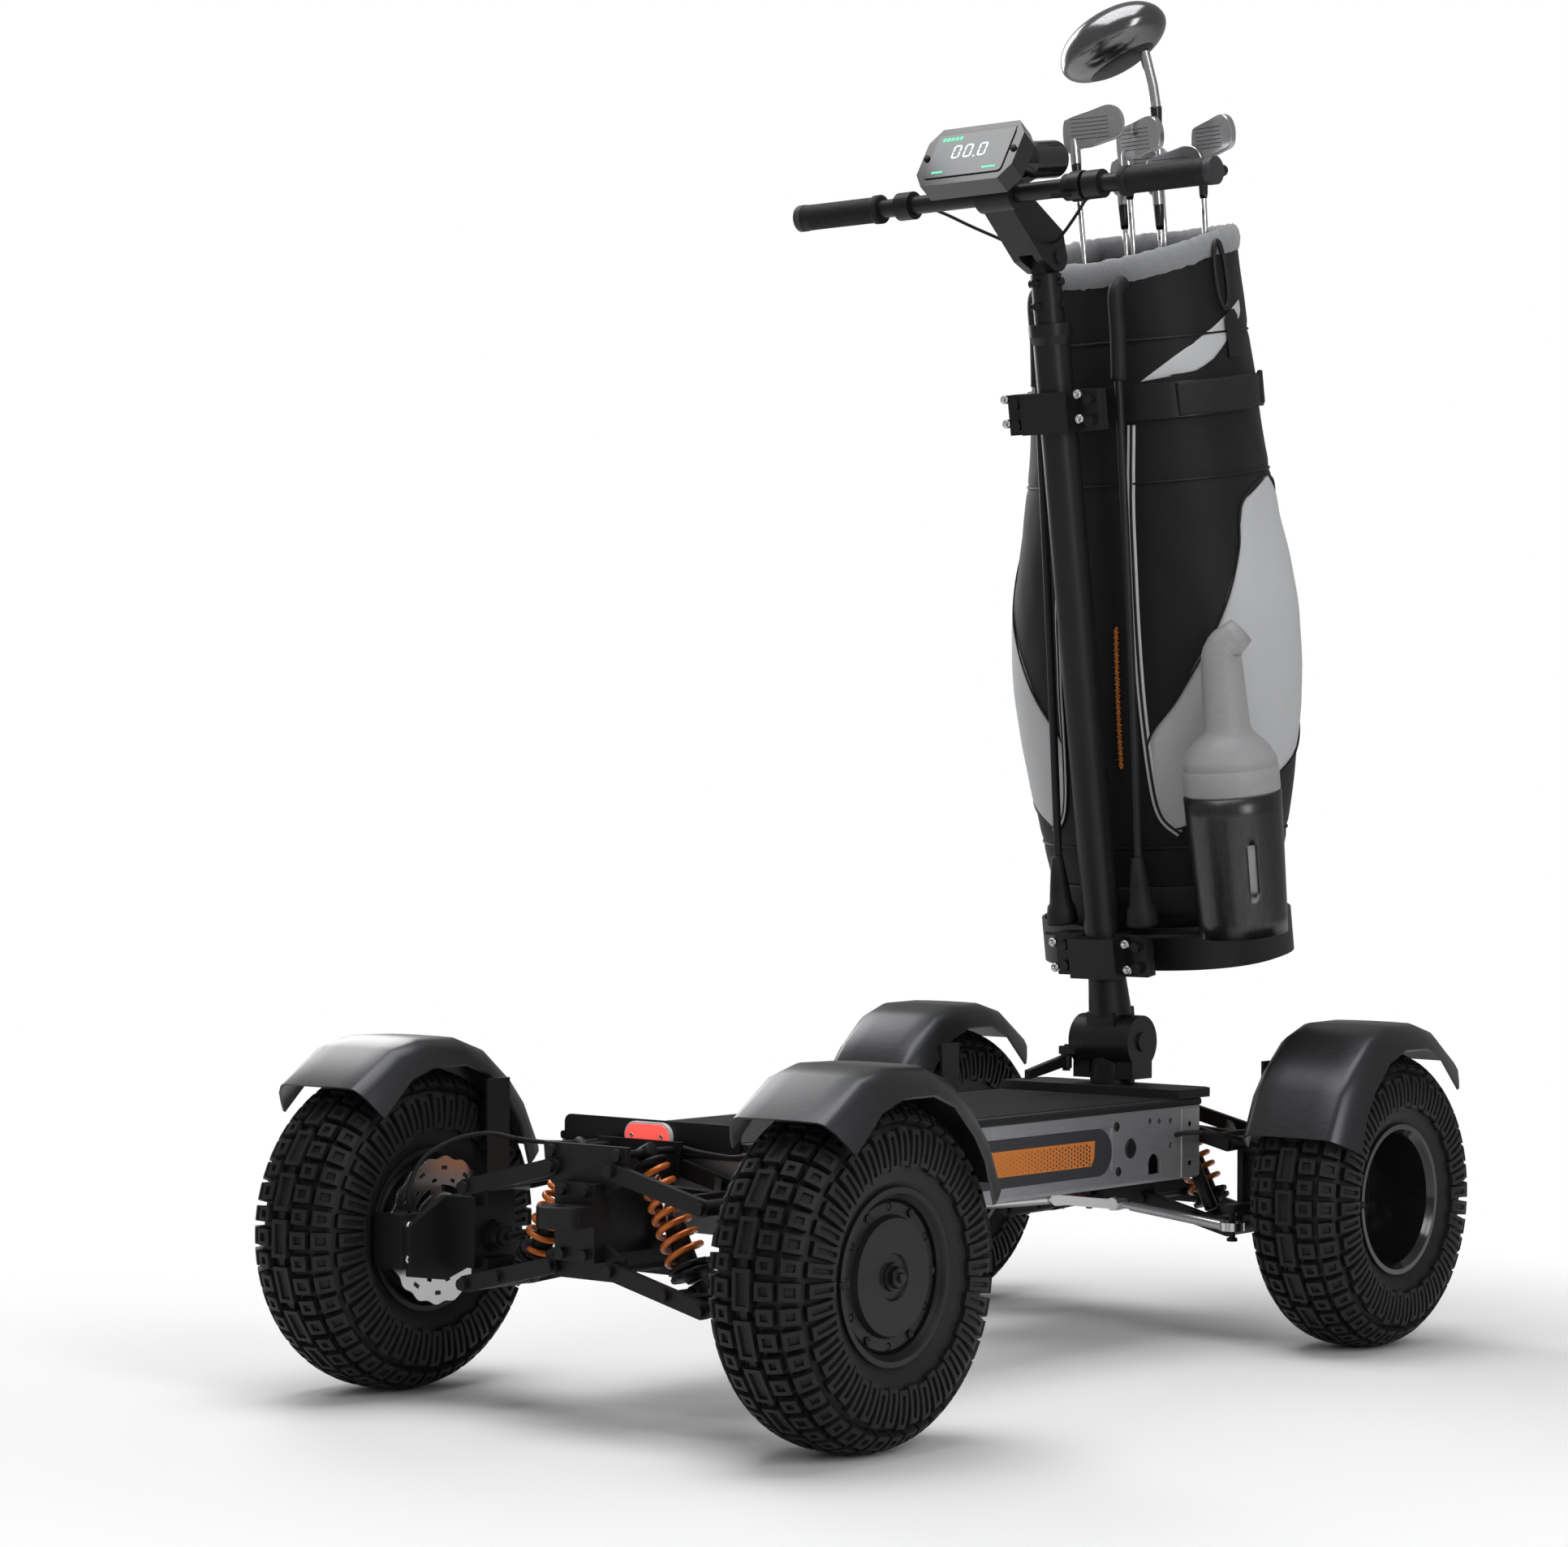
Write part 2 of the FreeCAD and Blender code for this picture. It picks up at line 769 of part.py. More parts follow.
def build_corners():
    wheel_tyre = on_wheel(tyre())
    barrel = on_wheel(rim_barrel())
    mudguard = on_wheel(fender())
    arm_up = upper_arm()
    arm_down = lower_arm()
    arm_bolt = cross_bolt(shock_bottom_x, shock_bottom_z(), arm_leg_outer)
    rear_parts = {
        "wheel": [barrel, on_wheel(hub_motor())] + [on_wheel(s) for s in cover_screws() + brake_disc()],
        "knuckle": [rear_knuckle(), rear_axle(), caliper()] + pivot_bolts(),
        "shock": shock(),
    }
    front_parts = {
        "wheel": [barrel, on_wheel(front_wheel_centre())],
        "upright": [front_upright(), kingpin()] + pivot_bolts(),
        "knuckle": [front_knuckle(), front_stub()],
        "shock": shock() + strut(),
    }
    for end_name, end, parts in (("rear", 1, rear_parts), ("front", -1, front_parts)):
        for side_name, side in (("left", 1), ("right", -1)):
            corner = end_name + "_" + side_name + "_"
            add(corner + "tyre", place(wheel_tyre, side, end))
            add(corner + "fender", place(mudguard, side, end))
            add(corner + "upper_arm", place(arm_up, side, end))
            add(corner + "lower_arm", place(arm_down, side, end), place(arm_bolt, side, end))
            for node, shapes in parts.items():
                add(corner + node, *[place(s, side, end) for s in shapes])


# ---- chassis ---------------------------------------------------------------
def tower_plate(y0, y1):
    """Bulkhead plate that carries the arm pivots and the tops of the shocks."""
    low = lower_pivot_z
    high = upper_pivot_z
    wide = inner_pivot_x + 13
    half = [
        (wide, low - 12),
        (wide, low + 13),
        (28, low + 26),
        (28, high - 26),
        (wide, high - 12),
        (wide + 4, shock_top_z + 8.5),
    ]
    outline = half + [(-x, z) for x, z in reversed(half)]
    plate = plate_xz(outline, y0, y1)
    for side in (-1, 1):
        for x, z in ((inner_pivot_x, low), (inner_pivot_x, high), (shock_top_x, shock_top_z)):
            plate = plate.cut(rod((side * x, y0 - 1, z), (side * x, y1 + 1, z), pivot_bolt_radius))
    return plate


def subframe(deck_end):
    """Pair of bulkhead plates with the spine and rails that join them."""
    y = arm_leg_y - face_clear
    plates = [tower_plate(y - plate_thickness, y), tower_plate(-y, -y + plate_thickness)]
    spine = box(-18, 18, -y + 1, y - 1, lower_pivot_z + 14, upper_pivot_z - 18)
    rails = [box(side * 25 - 6, side * 25 + 6, deck_end, -y + 1, 198, 262) for side in (-1, 1)]
    frame = plates[0].fuse([plates[1], spine] + rails)
    return frame.removeSplitter()


def leg_bolt(x, z, end):
    """Short bolt through one bulkhead plate and one leg of the upper arm, clear of the spring."""
    outside = end * (arm_leg_outer + face_clear)
    inside = end * (arm_leg_y - face_clear - plate_thickness)
    shank = rod((x, inside, z), (x, outside, z), pivot_bolt_radius)
    head = rod((x, outside, z), (x, outside + end * bolt_head_height, z), bolt_head_radius)
    nut = rod((x, inside - end * nut_height, z), (x, inside, z), bolt_head_radius)
    return shank.fuse([head, nut])


def subframe_bolts():
    bolts = []
    for side in (-1, 1):
        bolts.append(cross_bolt(side * inner_pivot_x, lower_pivot_z, arm_leg_outer + face_clear))
        bolts.append(cross_bolt(side * shock_top_x, shock_top_z, arm_leg_y - face_clear))
        for end in (-1, 1):
            bolts.append(leg_bolt(side * inner_pivot_x, upper_pivot_z, end))
    return bolts


def hitch():
    """Tail block with a drilled tongue for a trailer pin."""
    y0 = arm_leg_y - face_clear
    y1 = y0 + 16
    low = lower_pivot_z + 8
    high = upper_pivot_z - 14
    block = box(-28, 28, y0, y1, low, high)
    top = high - 22
    tongue = box(-28, 28, y1 - 1, y1 + hitch_reach - 22, top - hitch_thickness, top)
    tip = rod((0, y1 + hitch_reach - 28, top - hitch_thickness), (0, y1 + hitch_reach - 28, top), 28)
    bore = rod(
        (0, y1 + hitch_reach - 24, top - 40), (0, y1 + hitch_reach - 24, top + 10), hitch_bore_radius
    )
    tip = tip.cut(box(-40, 40, y0 - 40, y1, low, high))
    return block.fuse([tongue, tip]).cut(bore).removeSplitter()


def hitch_bolts():
    y = arm_leg_y - face_clear + 16
    bolts = []
    for x in (-16, 16):
        for z in (upper_pivot_z - 21, lower_pivot_z + 16):
            bolts.append(rod((x, y, z), (x, y + 7, z), 6))
    return bolts


def deck_housing():
    w = deck_half_width
    outer = box(-w, w, -deck_front, deck_rear, deck_bottom, deck_top)
    outer = outer.makeFillet(
        6,
        [
            e
            for e in outer.Edges if abs(e.BoundBox.ZMax - deck_bottom) < 0.1 and e.BoundBox.YLength > 100
        ],
    )
    t = deck_wall
    inner = box(-w + t, w - t, -deck_front + t, deck_rear - t, deck_bottom + t, deck_top + 1)
    shell = outer.cut(inner)
    head_front = axle_y - arm_leg_y
    head = box(
        -stem_shaft_radius - 9,
        stem_shaft_radius + 9,
        -head_front,
        -deck_front + 20,
        deck_bottom,
        deck_top,
    )
    shell = shell.fuse(head)
    shell = shell.cut(
        rod((0, neck_y, deck_bottom - 1), (0, neck_y, deck_top + 1), stem_shaft_radius + shaft_clear)
    )
    for side in (-1, 1):
        x0 = side * w
        x1 = side * (w - side_recess)
        recess = box(min(x0, x1), max(x0, x1), -248, 330, 216, 268)
        shell = shell.cut(recess)
        wall0 = min(side * (w + 1), side * (w - t - 1))
        wall1 = max(side * (w + 1), side * (w - t - 1))
        for y, z, r in (
            (-258, 268, 6),
            (-262, 214, 6),
            (-288, 240, 12),
            (-330, 270, 4),
            (-350, 269, 4),
            (-375, 268, 4),
            (-375, 238, 4),
        ):
            shell = shell.cut(rod((wall0, y, z), (wall1, y, z), r))
        arch = box(wall0, wall1, -352, -326, 206, 218)
        shell = shell.cut(arch.fuse(rod((wall0, -339, 218), (wall1, -339, 218), 13)))
    return shell.removeSplitter()


def deck_lid():
    """Top plate with a rounded rim all round the mat, and the cover over the neck."""
    w = deck_half_width + 3
    lid = box(-w, w, -deck_front, deck_rear, deck_top, deck_top + lid_thickness)
    tall = [e for e in lid.Edges if e.BoundBox.YLength > 100]
    lid = lid.makeFillet(3.5, tall)
    pocket = box(
        -w + lid_rim,
        w - lid_rim,
        -deck_front + cover_length,
        deck_rear - 6,
        deck_top + lid_thickness - 4,
        deck_top + 40,
    )
    lid = lid.cut(pocket)
    lid = lid.cut(rod((0, neck_y, 0), (0, neck_y, 500), stem_shaft_radius + 1))
    front = deck_front + cover_overhang
    z0 = deck_top + lid_thickness
    outline = [
        (-w, -deck_front + cover_length - 26),
        (-w, -front + 12),
        (-w + 14, -front),
        (w - 14, -front),
        (w, -front + 12),
        (w, -deck_front + cover_length - 26),
    ]
    cover = plate_xy(outline, z0, z0 + cover_thickness)
    cover = cover.cut(rod((0, neck_y, 0), (0, neck_y, 500), stem_shaft_radius + 1))
    return [lid.removeSplitter(), cover]


def cover_top():
    return deck_top + lid_thickness + cover_thickness


def deck_mat():
    w = deck_half_width + 3 - lid_rim - face_clear
    y0 = -deck_front + cover_length + face_clear
    y1 = deck_rear - 6 - face_clear
    z0 = deck_top + lid_thickness - 4
    mat = box(-w, w, y0, y1, z0, z0 + mat_thickness)
    count = int((y1 - y0 - 12) / (3 * mat_rib_pitch))
    grooves = []
    for n in range(count):
        y = y0 + 10 + 3 * mat_rib_pitch * n
        grooves.append(box(-w + 6, w - 6, y, y + 3, z0 + mat_thickness - 1.2, z0 + mat_thickness + 1))
    return mat.cut(Part.makeCompound(grooves))


def battery_and_controller():
    t = deck_wall + 6
    w = deck_half_width - t
    floor = deck_bottom + deck_wall
    battery = box(-w, w, -180, deck_rear - t - 20, floor, deck_top - 12)
    controller = box(-w + 30, w - 30, -340, -200, floor, deck_top - 34)
    fins = [
        box(-w + 34 + 18 * n, -w + 40 + 18 * n, -336, -204, deck_top - 34, deck_top - 20)
        for n in range(9)
    ]
    return [battery, controller.fuse(fins)]


def rear_bumper():
    w = bumper_half_width
    y0 = deck_rear
    z1 = deck_top + lid_thickness + 19
    z0 = z1 - bumper_height
    plate = box(-w, w, y0 + face_clear, y0 + 3.3, z0, z1)
    corners = [
        e
        for e in plate.Edges if e.BoundBox.YLength > 2 and e.BoundBox.XLength < 1 and e.BoundBox.ZMax > z1 - 1
    ]
    plate = plate.makeFillet(9, corners)
    lip = box(-w - 3, w + 3, y0 + face_clear, y0 + 6.5, z0 - 1, z0 + 3)
    return plate.fuse(lip).removeSplitter()


def tail_light():
    """Oblong lens with a round end each side, on the middle of the bumper."""
    r = tail_light_height / 2
    half = tail_light_half - r
    z = deck_top + lid_thickness + 19 - bumper_height / 2 + 1
    y0 = deck_rear + 3.3
    y1 = y0 + 6
    lens = box(-half, half, y0, y1, z - r, z + r)
    lens = lens.fuse([rod((side * half, y0, z), (side * half, y1, z), r) for side in (-1, 1)])
    return lens.removeSplitter()


def cut_back(hose, blocks):
    """The longest piece of a hose outside the parts that it plugs into."""
    pieces = hose.cut(blocks).Solids
    return max(pieces, key=lambda piece: piece.Volume)


def wheel_hoses():
    """Brake hoses, motor cables and front sensor cables, one of each per side."""
    hoses = []
    y = axle_y
    rear_end = [deck_housing(), place(subframe(deck_rear + face_clear - y), 1, 1)]
    rear_end.extend([place(shape, 1, 1) for shape in (rear_knuckle(), rear_axle(), caliper())])
    rear_end.extend([place(bolt, 1, 1) for bolt in pivot_bolts()])
    front_end = [deck_housing(), place(front_knuckle(), 1, -1)]
    x_in = 74
    route = [
        (disc_x() - 14, y + 62, 204.8),
        (disc_x() - 18, y + 66, 230),
        (disc_x() - 22, y + 50, 262),
        (disc_x() - 38, y + 22, 282),
        (disc_x() - 66, y - 4, 290),
        (disc_x() - 96, y - 20, 285),
        (disc_x() - 124, y - 32, 281),
        (x_in + 12, y - 38, 283),
        (58.4, y - 43, 287),
    ]
    hoses.extend(both_sides(cut_back(cord(route, 2.5), rear_end)))
    motor_route = [
        (outer_pivot_x - 12, y, axle_z),
        (outer_pivot_x - 27, y - 4, 183),
        (outer_pivot_x - 41, y - 18, 190),
        (outer_pivot_x - 51, y - 36, 198),
        (outer_pivot_x - 58, y - 52, 205),
        (outer_pivot_x - 62, deck_rear, 209),
    ]
    hoses.extend(both_sides(cut_back(cord(motor_route, 4.0), rear_end)))
    front_route = [
        (deck_half_width, -385, 250),
        (deck_half_width + 14, -389, 253),
        (deck_half_width + 32, -402, 254),
        (deck_half_width + 50, -422, 250),
        (deck_half_width + 64, -446, 242),
        (kingpin_x + 20, -axle_y + 30, 232),
        (kingpin_x + 24, -axle_y + 14, 218),
    ]
    hoses.extend(both_sides(cut_back(cord(front_route, 3.0), front_end)))
    return hoses


def build_chassis():
    add("deck_housing", deck_housing())
    add("deck_lid", *deck_lid())
    add("deck_mat", deck_mat())
    add("battery_and_controller", *battery_and_controller())
    add("rear_bumper", rear_bumper())
    add("tail_light", tail_light())
    rear_gap = deck_rear + face_clear - axle_y
    front_gap = deck_front + face_clear - axle_y
    add("subframes", place(subframe(rear_gap), 1, 1), place(subframe(front_gap), 1, -1))
    add("subframes", place(hitch(), 1, 1))
    for bolt in hitch_bolts():
        add("subframes", place(bolt, 1, 1))
    for bolt in subframe_bolts():
        add("subframes", place(bolt, 1, 1), place(bolt, 1, -1))
    add("wheel_hoses", *wheel_hoses())


# ---- steering ----------------------------------------------------------------
def steering_neck():
    """Shaft, round neck and the two hinge ears that the column folds between."""
    base = cover_top() + face_clear
    shaft = rod((0, neck_y, link_z + 26), (0, neck_y, base), stem_shaft_radius)
    neck = rod((0, neck_y, base), (0, neck_y, fold_z - 8), neck_radius)
    ears = []
    inner = barrel_half + face_clear
    for side in (-1, 1):
        a = side * inner
        b = side * (inner + ear_width)
        ear = rod((a, neck_y, fold_z), (b, neck_y, fold_z), barrel_radius)
        foot = box(min(a, b), max(a, b), neck_y - 22, neck_y + 22, fold_z - 40, fold_z)
        ears.append(ear)
        ears.append(foot)
    saddle = box(
        -inner - ear_width, inner + ear_width, neck_y - 22, neck_y + 22, fold_z - 46, fold_z - 38
    )
    lug, lever_pin = lever_lug()
    neck = neck.fuse([saddle, lug] + ears)
    gap = rod((-inner, neck_y, fold_z), (inner, neck_y, fold_z), barrel_radius + 1.5)
    neck = neck.cut(gap)
    neck = neck.cut(box(-inner, inner, neck_y - 60, neck_y + 60, fold_z, fold_z + 60))
    neck = neck.cut(rod((-60, neck_y, fold_z), (60, neck_y, fold_z), fold_pin_radius))
    neck = neck.cut(rod((lever_x(), lever_y(), 0), (lever_x(), lever_y(), 500), lever_pin_radius))
    return [neck.removeSplitter(), shaft, lever_pin]


def fold_pin():
    reach = barrel_half + face_clear + ear_width
    pin = rod((-reach, neck_y, fold_z), (reach, neck_y, fold_z), fold_pin_radius)
    heads = [
        rod((side * reach, neck_y, fold_z), (side * (reach + 3), neck_y, fold_z), 12)
        for side in (-1, 1)
    ]
    return pin.fuse(heads).removeSplitter()


def pitman():
    """Arm under the deck that turns with the neck and moves the centre link."""
    z0 = link_z + 16
    y1 = neck_y + pitman_reach
    arm = plate_xy([(-11, neck_y), (11, neck_y), (9, y1), (-9, y1)], z0, z0 + 10)
    boss = rod((0, neck_y, z0), (0, neck_y, z0 + 10), stem_shaft_radius + 3)
    eye = rod((0, y1, z0), (0, y1, z0 + 10), 10)
    stud = rod((0, y1, link_z - 9), (0, y1, z0), steering_stud_radius)
    return boss.fuse([arm, eye, stud]).removeSplitter()


def centre_link():
    """Cross bar with a slot for the pitman stud and a clevis at each end."""
    y = neck_y + pitman_reach
    bar = box(-30, 30, y - 18, y + 12, link_z - 6, link_z + 6)
    reach = steering_stud_radius + link_slot_clear
    slot = box(-reach, reach, y - 12.5, y + reach, link_z - 10, link_z + 10)
    bar = bar.cut(slot)
    cheeks = []
    for side in (-1, 1):
        for y0, y1 in ((y - 12, y - 6), (y + 6, y + 12)):
            a = side * 28
            b = side * inner_pivot_x
            cheeks.append(box(min(a, b), max(a, b), y0, y1, link_z - 6, link_z + 6))
            cheeks.append(rod((b, y0, link_z), (b, y1, link_z), 8))
        cheeks.append(
            rod(
                (side * inner_pivot_x, y - 12, link_z),
                (side * inner_pivot_x, y + 12, link_z),
                pivot_bolt_radius,
            )
        )
    return bar.fuse(cheeks).removeSplitter()


def tie_rod():
    """Left tie rod, from the centre link to the ring round the steering stud."""
    y_in = neck_y + pitman_reach
    y_out = -axle_y + steering_arm
    x_out = kingpin_x + 2
    z_out = lower_pivot_z - arm_drop + 25 + face_clear - 18
    inner_eye = rod((inner_pivot_x, y_in - 5.6, link_z), (inner_pivot_x, y_in + 5.6, link_z), 8.5)
    start = (inner_pivot_x + 5, y_in, link_z)
    end = (x_out - 12, y_out, z_out)
    neck = rod(start, (inner_pivot_x + 20, y_in - 3, link_z - 2.3), 4.5)
    body = rod((inner_pivot_x + 18, y_in - 2.8, link_z - 2), end, 6)
    ring = rod((x_out, y_out, z_out - 5), (x_out, y_out, z_out + 5), 15)
    rod_solid = inner_eye.fuse([neck, body, ring])
    rod_solid = rod_solid.cut(rod((x_out, y_out, z_out - 20), (x_out, y_out, z_out + 20), 11))
    rod_solid = rod_solid.cut(
        rod(
            (inner_pivot_x, y_in - 9, link_z),
            (inner_pivot_x, y_in + 9, link_z),
            pivot_bolt_radius + shaft_clear,
        )
    )
    return rod_solid.removeSplitter()


def lever_lug():
    """Lug and upright pin on the left ear, which carry the latch lever."""
    ear_face = barrel_half + face_clear + ear_width
    lug = box(ear_face - 8, lever_x() + 7, lever_y() - 7, lever_y() + 7, fold_z - 18, fold_z - 8)
    lug = lug.cut(rod((lever_x(), lever_y(), 0), (lever_x(), lever_y(), 500), lever_pin_radius))
    pin = rod((lever_x(), lever_y(), fold_z - 36), (lever_x(), lever_y(), fold_z - 6), lever_pin_radius)
    keeper = rod(
        (lever_x(), lever_y(), fold_z - 39), (lever_x(), lever_y(), fold_z - 36), lever_pin_radius + 2
    )
    return lug, pin.fuse(keeper).removeSplitter()


def lever_x():
    return barrel_half + face_clear + ear_width + 9


def lever_y():
    return neck_y + 24


def fold_lever():
    """Latch lever beside the hinge, pointing back and a little down."""
    x = lever_x()
    y = lever_y()
    top = fold_z - 18 - face_clear
    hub = rod((x, y, fold_z - 36 + face_clear), (x, y, top), 7)
    blade = plate_yz(
        [
            (y, top),
            (y + lever_length, top - 16),
            (y + lever_length, top - 27),
            (y + 50, top - 22),
            (y, top - 14),
        ],
        x - 4,
        x + 4,
    )
    lever = hub.fuse(blade)
    lever = lever.cut(rod((x, y, 0), (x, y, 500), lever_pin_radius + shaft_clear))
    return lever.removeSplitter()


# ---- column: drawn upright from the fold pivot, +Z along the tube, -Y forwards --
lean_placement = Placement(Vector(0, neck_y, fold_z), Rotation(Vector(1, 0, 0), -column_lean))


def lean(shape):
    moved = shape.copy()
    moved.Placement = lean_placement.multiply(moved.Placement)
    return moved


def column_tube():
    barrel = rod((-barrel_half, 0, 0), (barrel_half, 0, 0), barrel_radius)
    flare = cone((0, 0, barrel_radius + 3), (0, 0, lower_clamp_s - 4), 27, column_radius + 0.5)
    foot = box(-barrel_half, barrel_half, -24, 24, 10, 40)
    post = rod((0, 0, 60), (0, 0, column_top), column_radius)
    collar = rod((0, 0, column_top - collar_height + 10), (0, 0, column_top), collar_radius)
    step = cone(
        (0, 0, column_top - collar_height),
        (0, 0, column_top - collar_height + 10),
        column_radius,
        collar_radius,
    )
    tube_solid = barrel.fuse([foot, flare, post, collar, step])
    tube_solid = tube_solid.cut(rod((0, 0, 110), (0, 0, column_top + 1), column_radius - column_wall))
    sleeve = tube(
        (0, 0, column_top - 120),
        (0, 0, column_top),
        column_radius - column_wall + 0.5,
        inner_radius + shaft_clear,
    )
    tube_solid = tube_solid.fuse(sleeve)
    tube_solid = tube_solid.cut(rod((-60, 0, 0), (60, 0, 0), fold_pin_radius + shaft_clear))
    return tube_solid.removeSplitter()


def stem():
    """Inner tube that slides up out of the column, with the riser pivot on top."""
    low = column_top - inner_length + 80
    post = rod((0, 0, low), (0, 0, riser_pivot_s - 19.5), inner_radius)
    post = post.cut(rod((0, 0, low - 1), (0, 0, riser_pivot_s - 40), inner_radius - 3))
    tongue = rod((-tongue_half, 0, riser_pivot_s), (tongue_half, 0, riser_pivot_s), 15)
    web = box(-tongue_half, tongue_half, -15, 15, riser_pivot_s - 22, riser_pivot_s)
    bolts = []
    for s in (column_top + 22, column_top + 50):
        bolts.append(rod((0, -inner_radius - 5, s), (0, inner_radius + 8, s), 5))
        bolts.append(rod((-inner_radius - 5, 0, s), (inner_radius + 5, 0, s), 5))
    body = post.fuse([tongue, web] + bolts)
    body = body.cut(rod((-30, 0, riser_pivot_s), (30, 0, riser_pivot_s), 5 + shaft_clear))
    return body.removeSplitter()


def riser():
    """Forked arm from the stem pivot back and up to the bar clamp."""
    w = riser_half_width
    pivot = rod((-w, 0, riser_pivot_s), (w, 0, riser_pivot_s), 18)
    clamp = rod((-w - 4, bar_back, bar_up), (w + 4, bar_back, bar_up), bar_radius + 9)
    arm = plate_yz(
        [
            (-17, riser_pivot_s + 4),
            (-14, riser_pivot_s + 30),
            (bar_back - 14, bar_up + 12),
            (bar_back + 10, bar_up - 14),
            (34, riser_pivot_s - 2),
            (8, riser_pivot_s - 17),
        ],
        -w,
        w,
    )
    body = pivot.fuse([arm, clamp])
    slot = box(
        -tongue_half - face_clear,
        tongue_half + face_clear,
        -40,
        40,
        riser_pivot_s - 40,
        riser_pivot_s + 15.5,
    )
    slot = slot.fuse(
        rod(
            (-tongue_half - face_clear, 0, riser_pivot_s),
            (tongue_half + face_clear, 0, riser_pivot_s),
            17,
        )
    )
    body = body.cut(slot)
    body = body.cut(rod((-w - 9, bar_back, bar_up), (w + 9, bar_back, bar_up), bar_radius))
    pin = rod((-w - 3, 0, riser_pivot_s), (w + 3, 0, riser_pivot_s), 5)
    pin_heads = [
        rod((side * w, 0, riser_pivot_s), (side * (w + 3), 0, riser_pivot_s), 9) for side in (-1, 1)
    ]
    body = body.cut(pin)
    return [body.removeSplitter(), pin.fuse(pin_heads)]


def bar_rod(x0, x1, radius):
    return rod((x0, bar_back, bar_up), (x1, bar_back, bar_up), radius)


def handlebar():
    tube_solid = bar_rod(-bar_half + cap_length, bar_half - cap_length, bar_radius)
    caps = []
    for side in (-1, 1):
        cap = bar_rod(side * (bar_half - cap_length), side * bar_half, grip_radius + 0.5)
        caps.append(cap)
    return [tube_solid] + caps


def grips():
    solids = []
    for side in (-1, 1):
        far = side * (bar_half - cap_length)
        near = side * (bar_half - cap_length - grip_length)
        grip = bar_rod(near, far, grip_radius)
        collar = bar_rod(near - side * 7, near, grip_radius + 1.2)
        solids.append(grip.fuse(collar).cut(bar_rod(near - side * 9, far, bar_radius)).removeSplitter())
    return solids


def lever_perch(side):
    """Clamp on the bar that carries the brake lever pivot."""
    x0 = side * 128
    x1 = side * 150
    clamp = bar_rod(x0, x1, bar_radius + 6)
    arm = box(min(x0, x1), max(x0, x1), bar_back - 34, bar_back, bar_up - 8, bar_up + 8)
    arm = arm.cut(box(-200, 200, bar_back - 40, bar_back - 20, bar_up - 4.3, bar_up + 4.3))
    body = clamp.fuse(arm).cut(
        bar_rod(x0 - 9, x1 + 9, bar_radius).fuse(bar_rod(x0 + 9, x1 - 9, bar_radius))
    )
    px = side * 139
    py = bar_back - 27
    pin = rod((px, py, bar_up - 9), (px, py, bar_up + 9), 3)
    return [body.cut(pin).removeSplitter(), pin]


def brake_lever(side):
    px = side * 139
    py = bar_back - 27
    hub = rod((px, py, bar_up - 4), (px, py, bar_up + 4), 6.5)
    outline = [
        (px, py + 5),
        (px + side * 26, bar_back - lever_reach + 4),
        (side * 278, bar_back - lever_reach + 2),
        (side * 288, bar_back - lever_reach - 6),
        (side * 276, bar_back - lever_reach - 8),
        (px + side * 20, bar_back - lever_reach - 7),
        (px, py - 5),
    ]
    blade = plate_xy(outline, bar_up - 4, bar_up + 4)
    ball = Part.makeSphere(7, Vector(side * 286, bar_back - lever_reach - 3, bar_up))
    lever = hub.fuse([blade, ball])
    lever = lever.cut(rod((px, py, bar_up - 20), (px, py, bar_up + 20), 3 + shaft_clear))
    return lever.removeSplitter()


def throttle_parts():
    """Thumb throttle just inside the right grip: fixed collar and moving paddle."""
    x0 = -124
    x1 = -108
    collar = bar_rod(x0, x1, bar_radius + 7).cut(bar_rod(x0 - 2, x1 + 2, bar_radius))
    ring = bar_rod(x1 + face_clear, x1 + 10, bar_radius + 5)
    paddle = box(x1 + face_clear, x1 + 10, bar_back + 8, bar_back + 36, bar_up - 12, bar_up - 6)
    paddle = paddle.fuse(box(x1 - 12, x1 + 10, bar_back + 24, bar_back + 36, bar_up - 12, bar_up - 6))
    moving = ring.fuse(paddle).cut(bar_rod(x1 - 9, x1 + 19, bar_radius + shaft_clear))
    return collar, moving.removeSplitter()


def display():
    """Eight-sided display housing that faces the rider."""
    w = 70.0
    h = 44.0
    c = 20.0
    outline = [
        (-w, -h + c),
        (-w, h - c),
        (-w + c * 0.7, h),
        (w - c * 0.7, h),
        (w, h - c),
        (w, -h + c),
        (w - c * 0.7, -h),
        (-w + c * 0.7, -h),
    ]
    body = plate_xz(outline, -12, 14)
    screen = box(-w + 14, w - 14, 14, 15, -h + 13, h - 9)
    tilt = Placement(Vector(0, 125, 1096), Rotation(Vector(1, 0, 0), 32 + column_lean))
    solids = [body.cut(screen), screen]
    body_post = box(-14, 14, bar_back + 1, 118, bar_up + 16, bar_up + 30)
    placed = []
    for solid in solids:
        solid.Placement = tilt.multiply(solid.Placement)
        placed.append(solid)
    post = body_post.cut(placed[0])
    foot = box(-14, 14, bar_back - 6, bar_back + 14, bar_up + 12, bar_up + 30)
    foot = foot.cut(bar_rod(-30, 30, bar_radius + 9 + face_clear)).cut(placed[0])
    arm = post.fuse(foot).cut(bar_rod(-40, 40, bar_radius + 9 + face_clear)).removeSplitter()
    return placed + [max(arm.Solids, key=lambda s: s.Volume)]


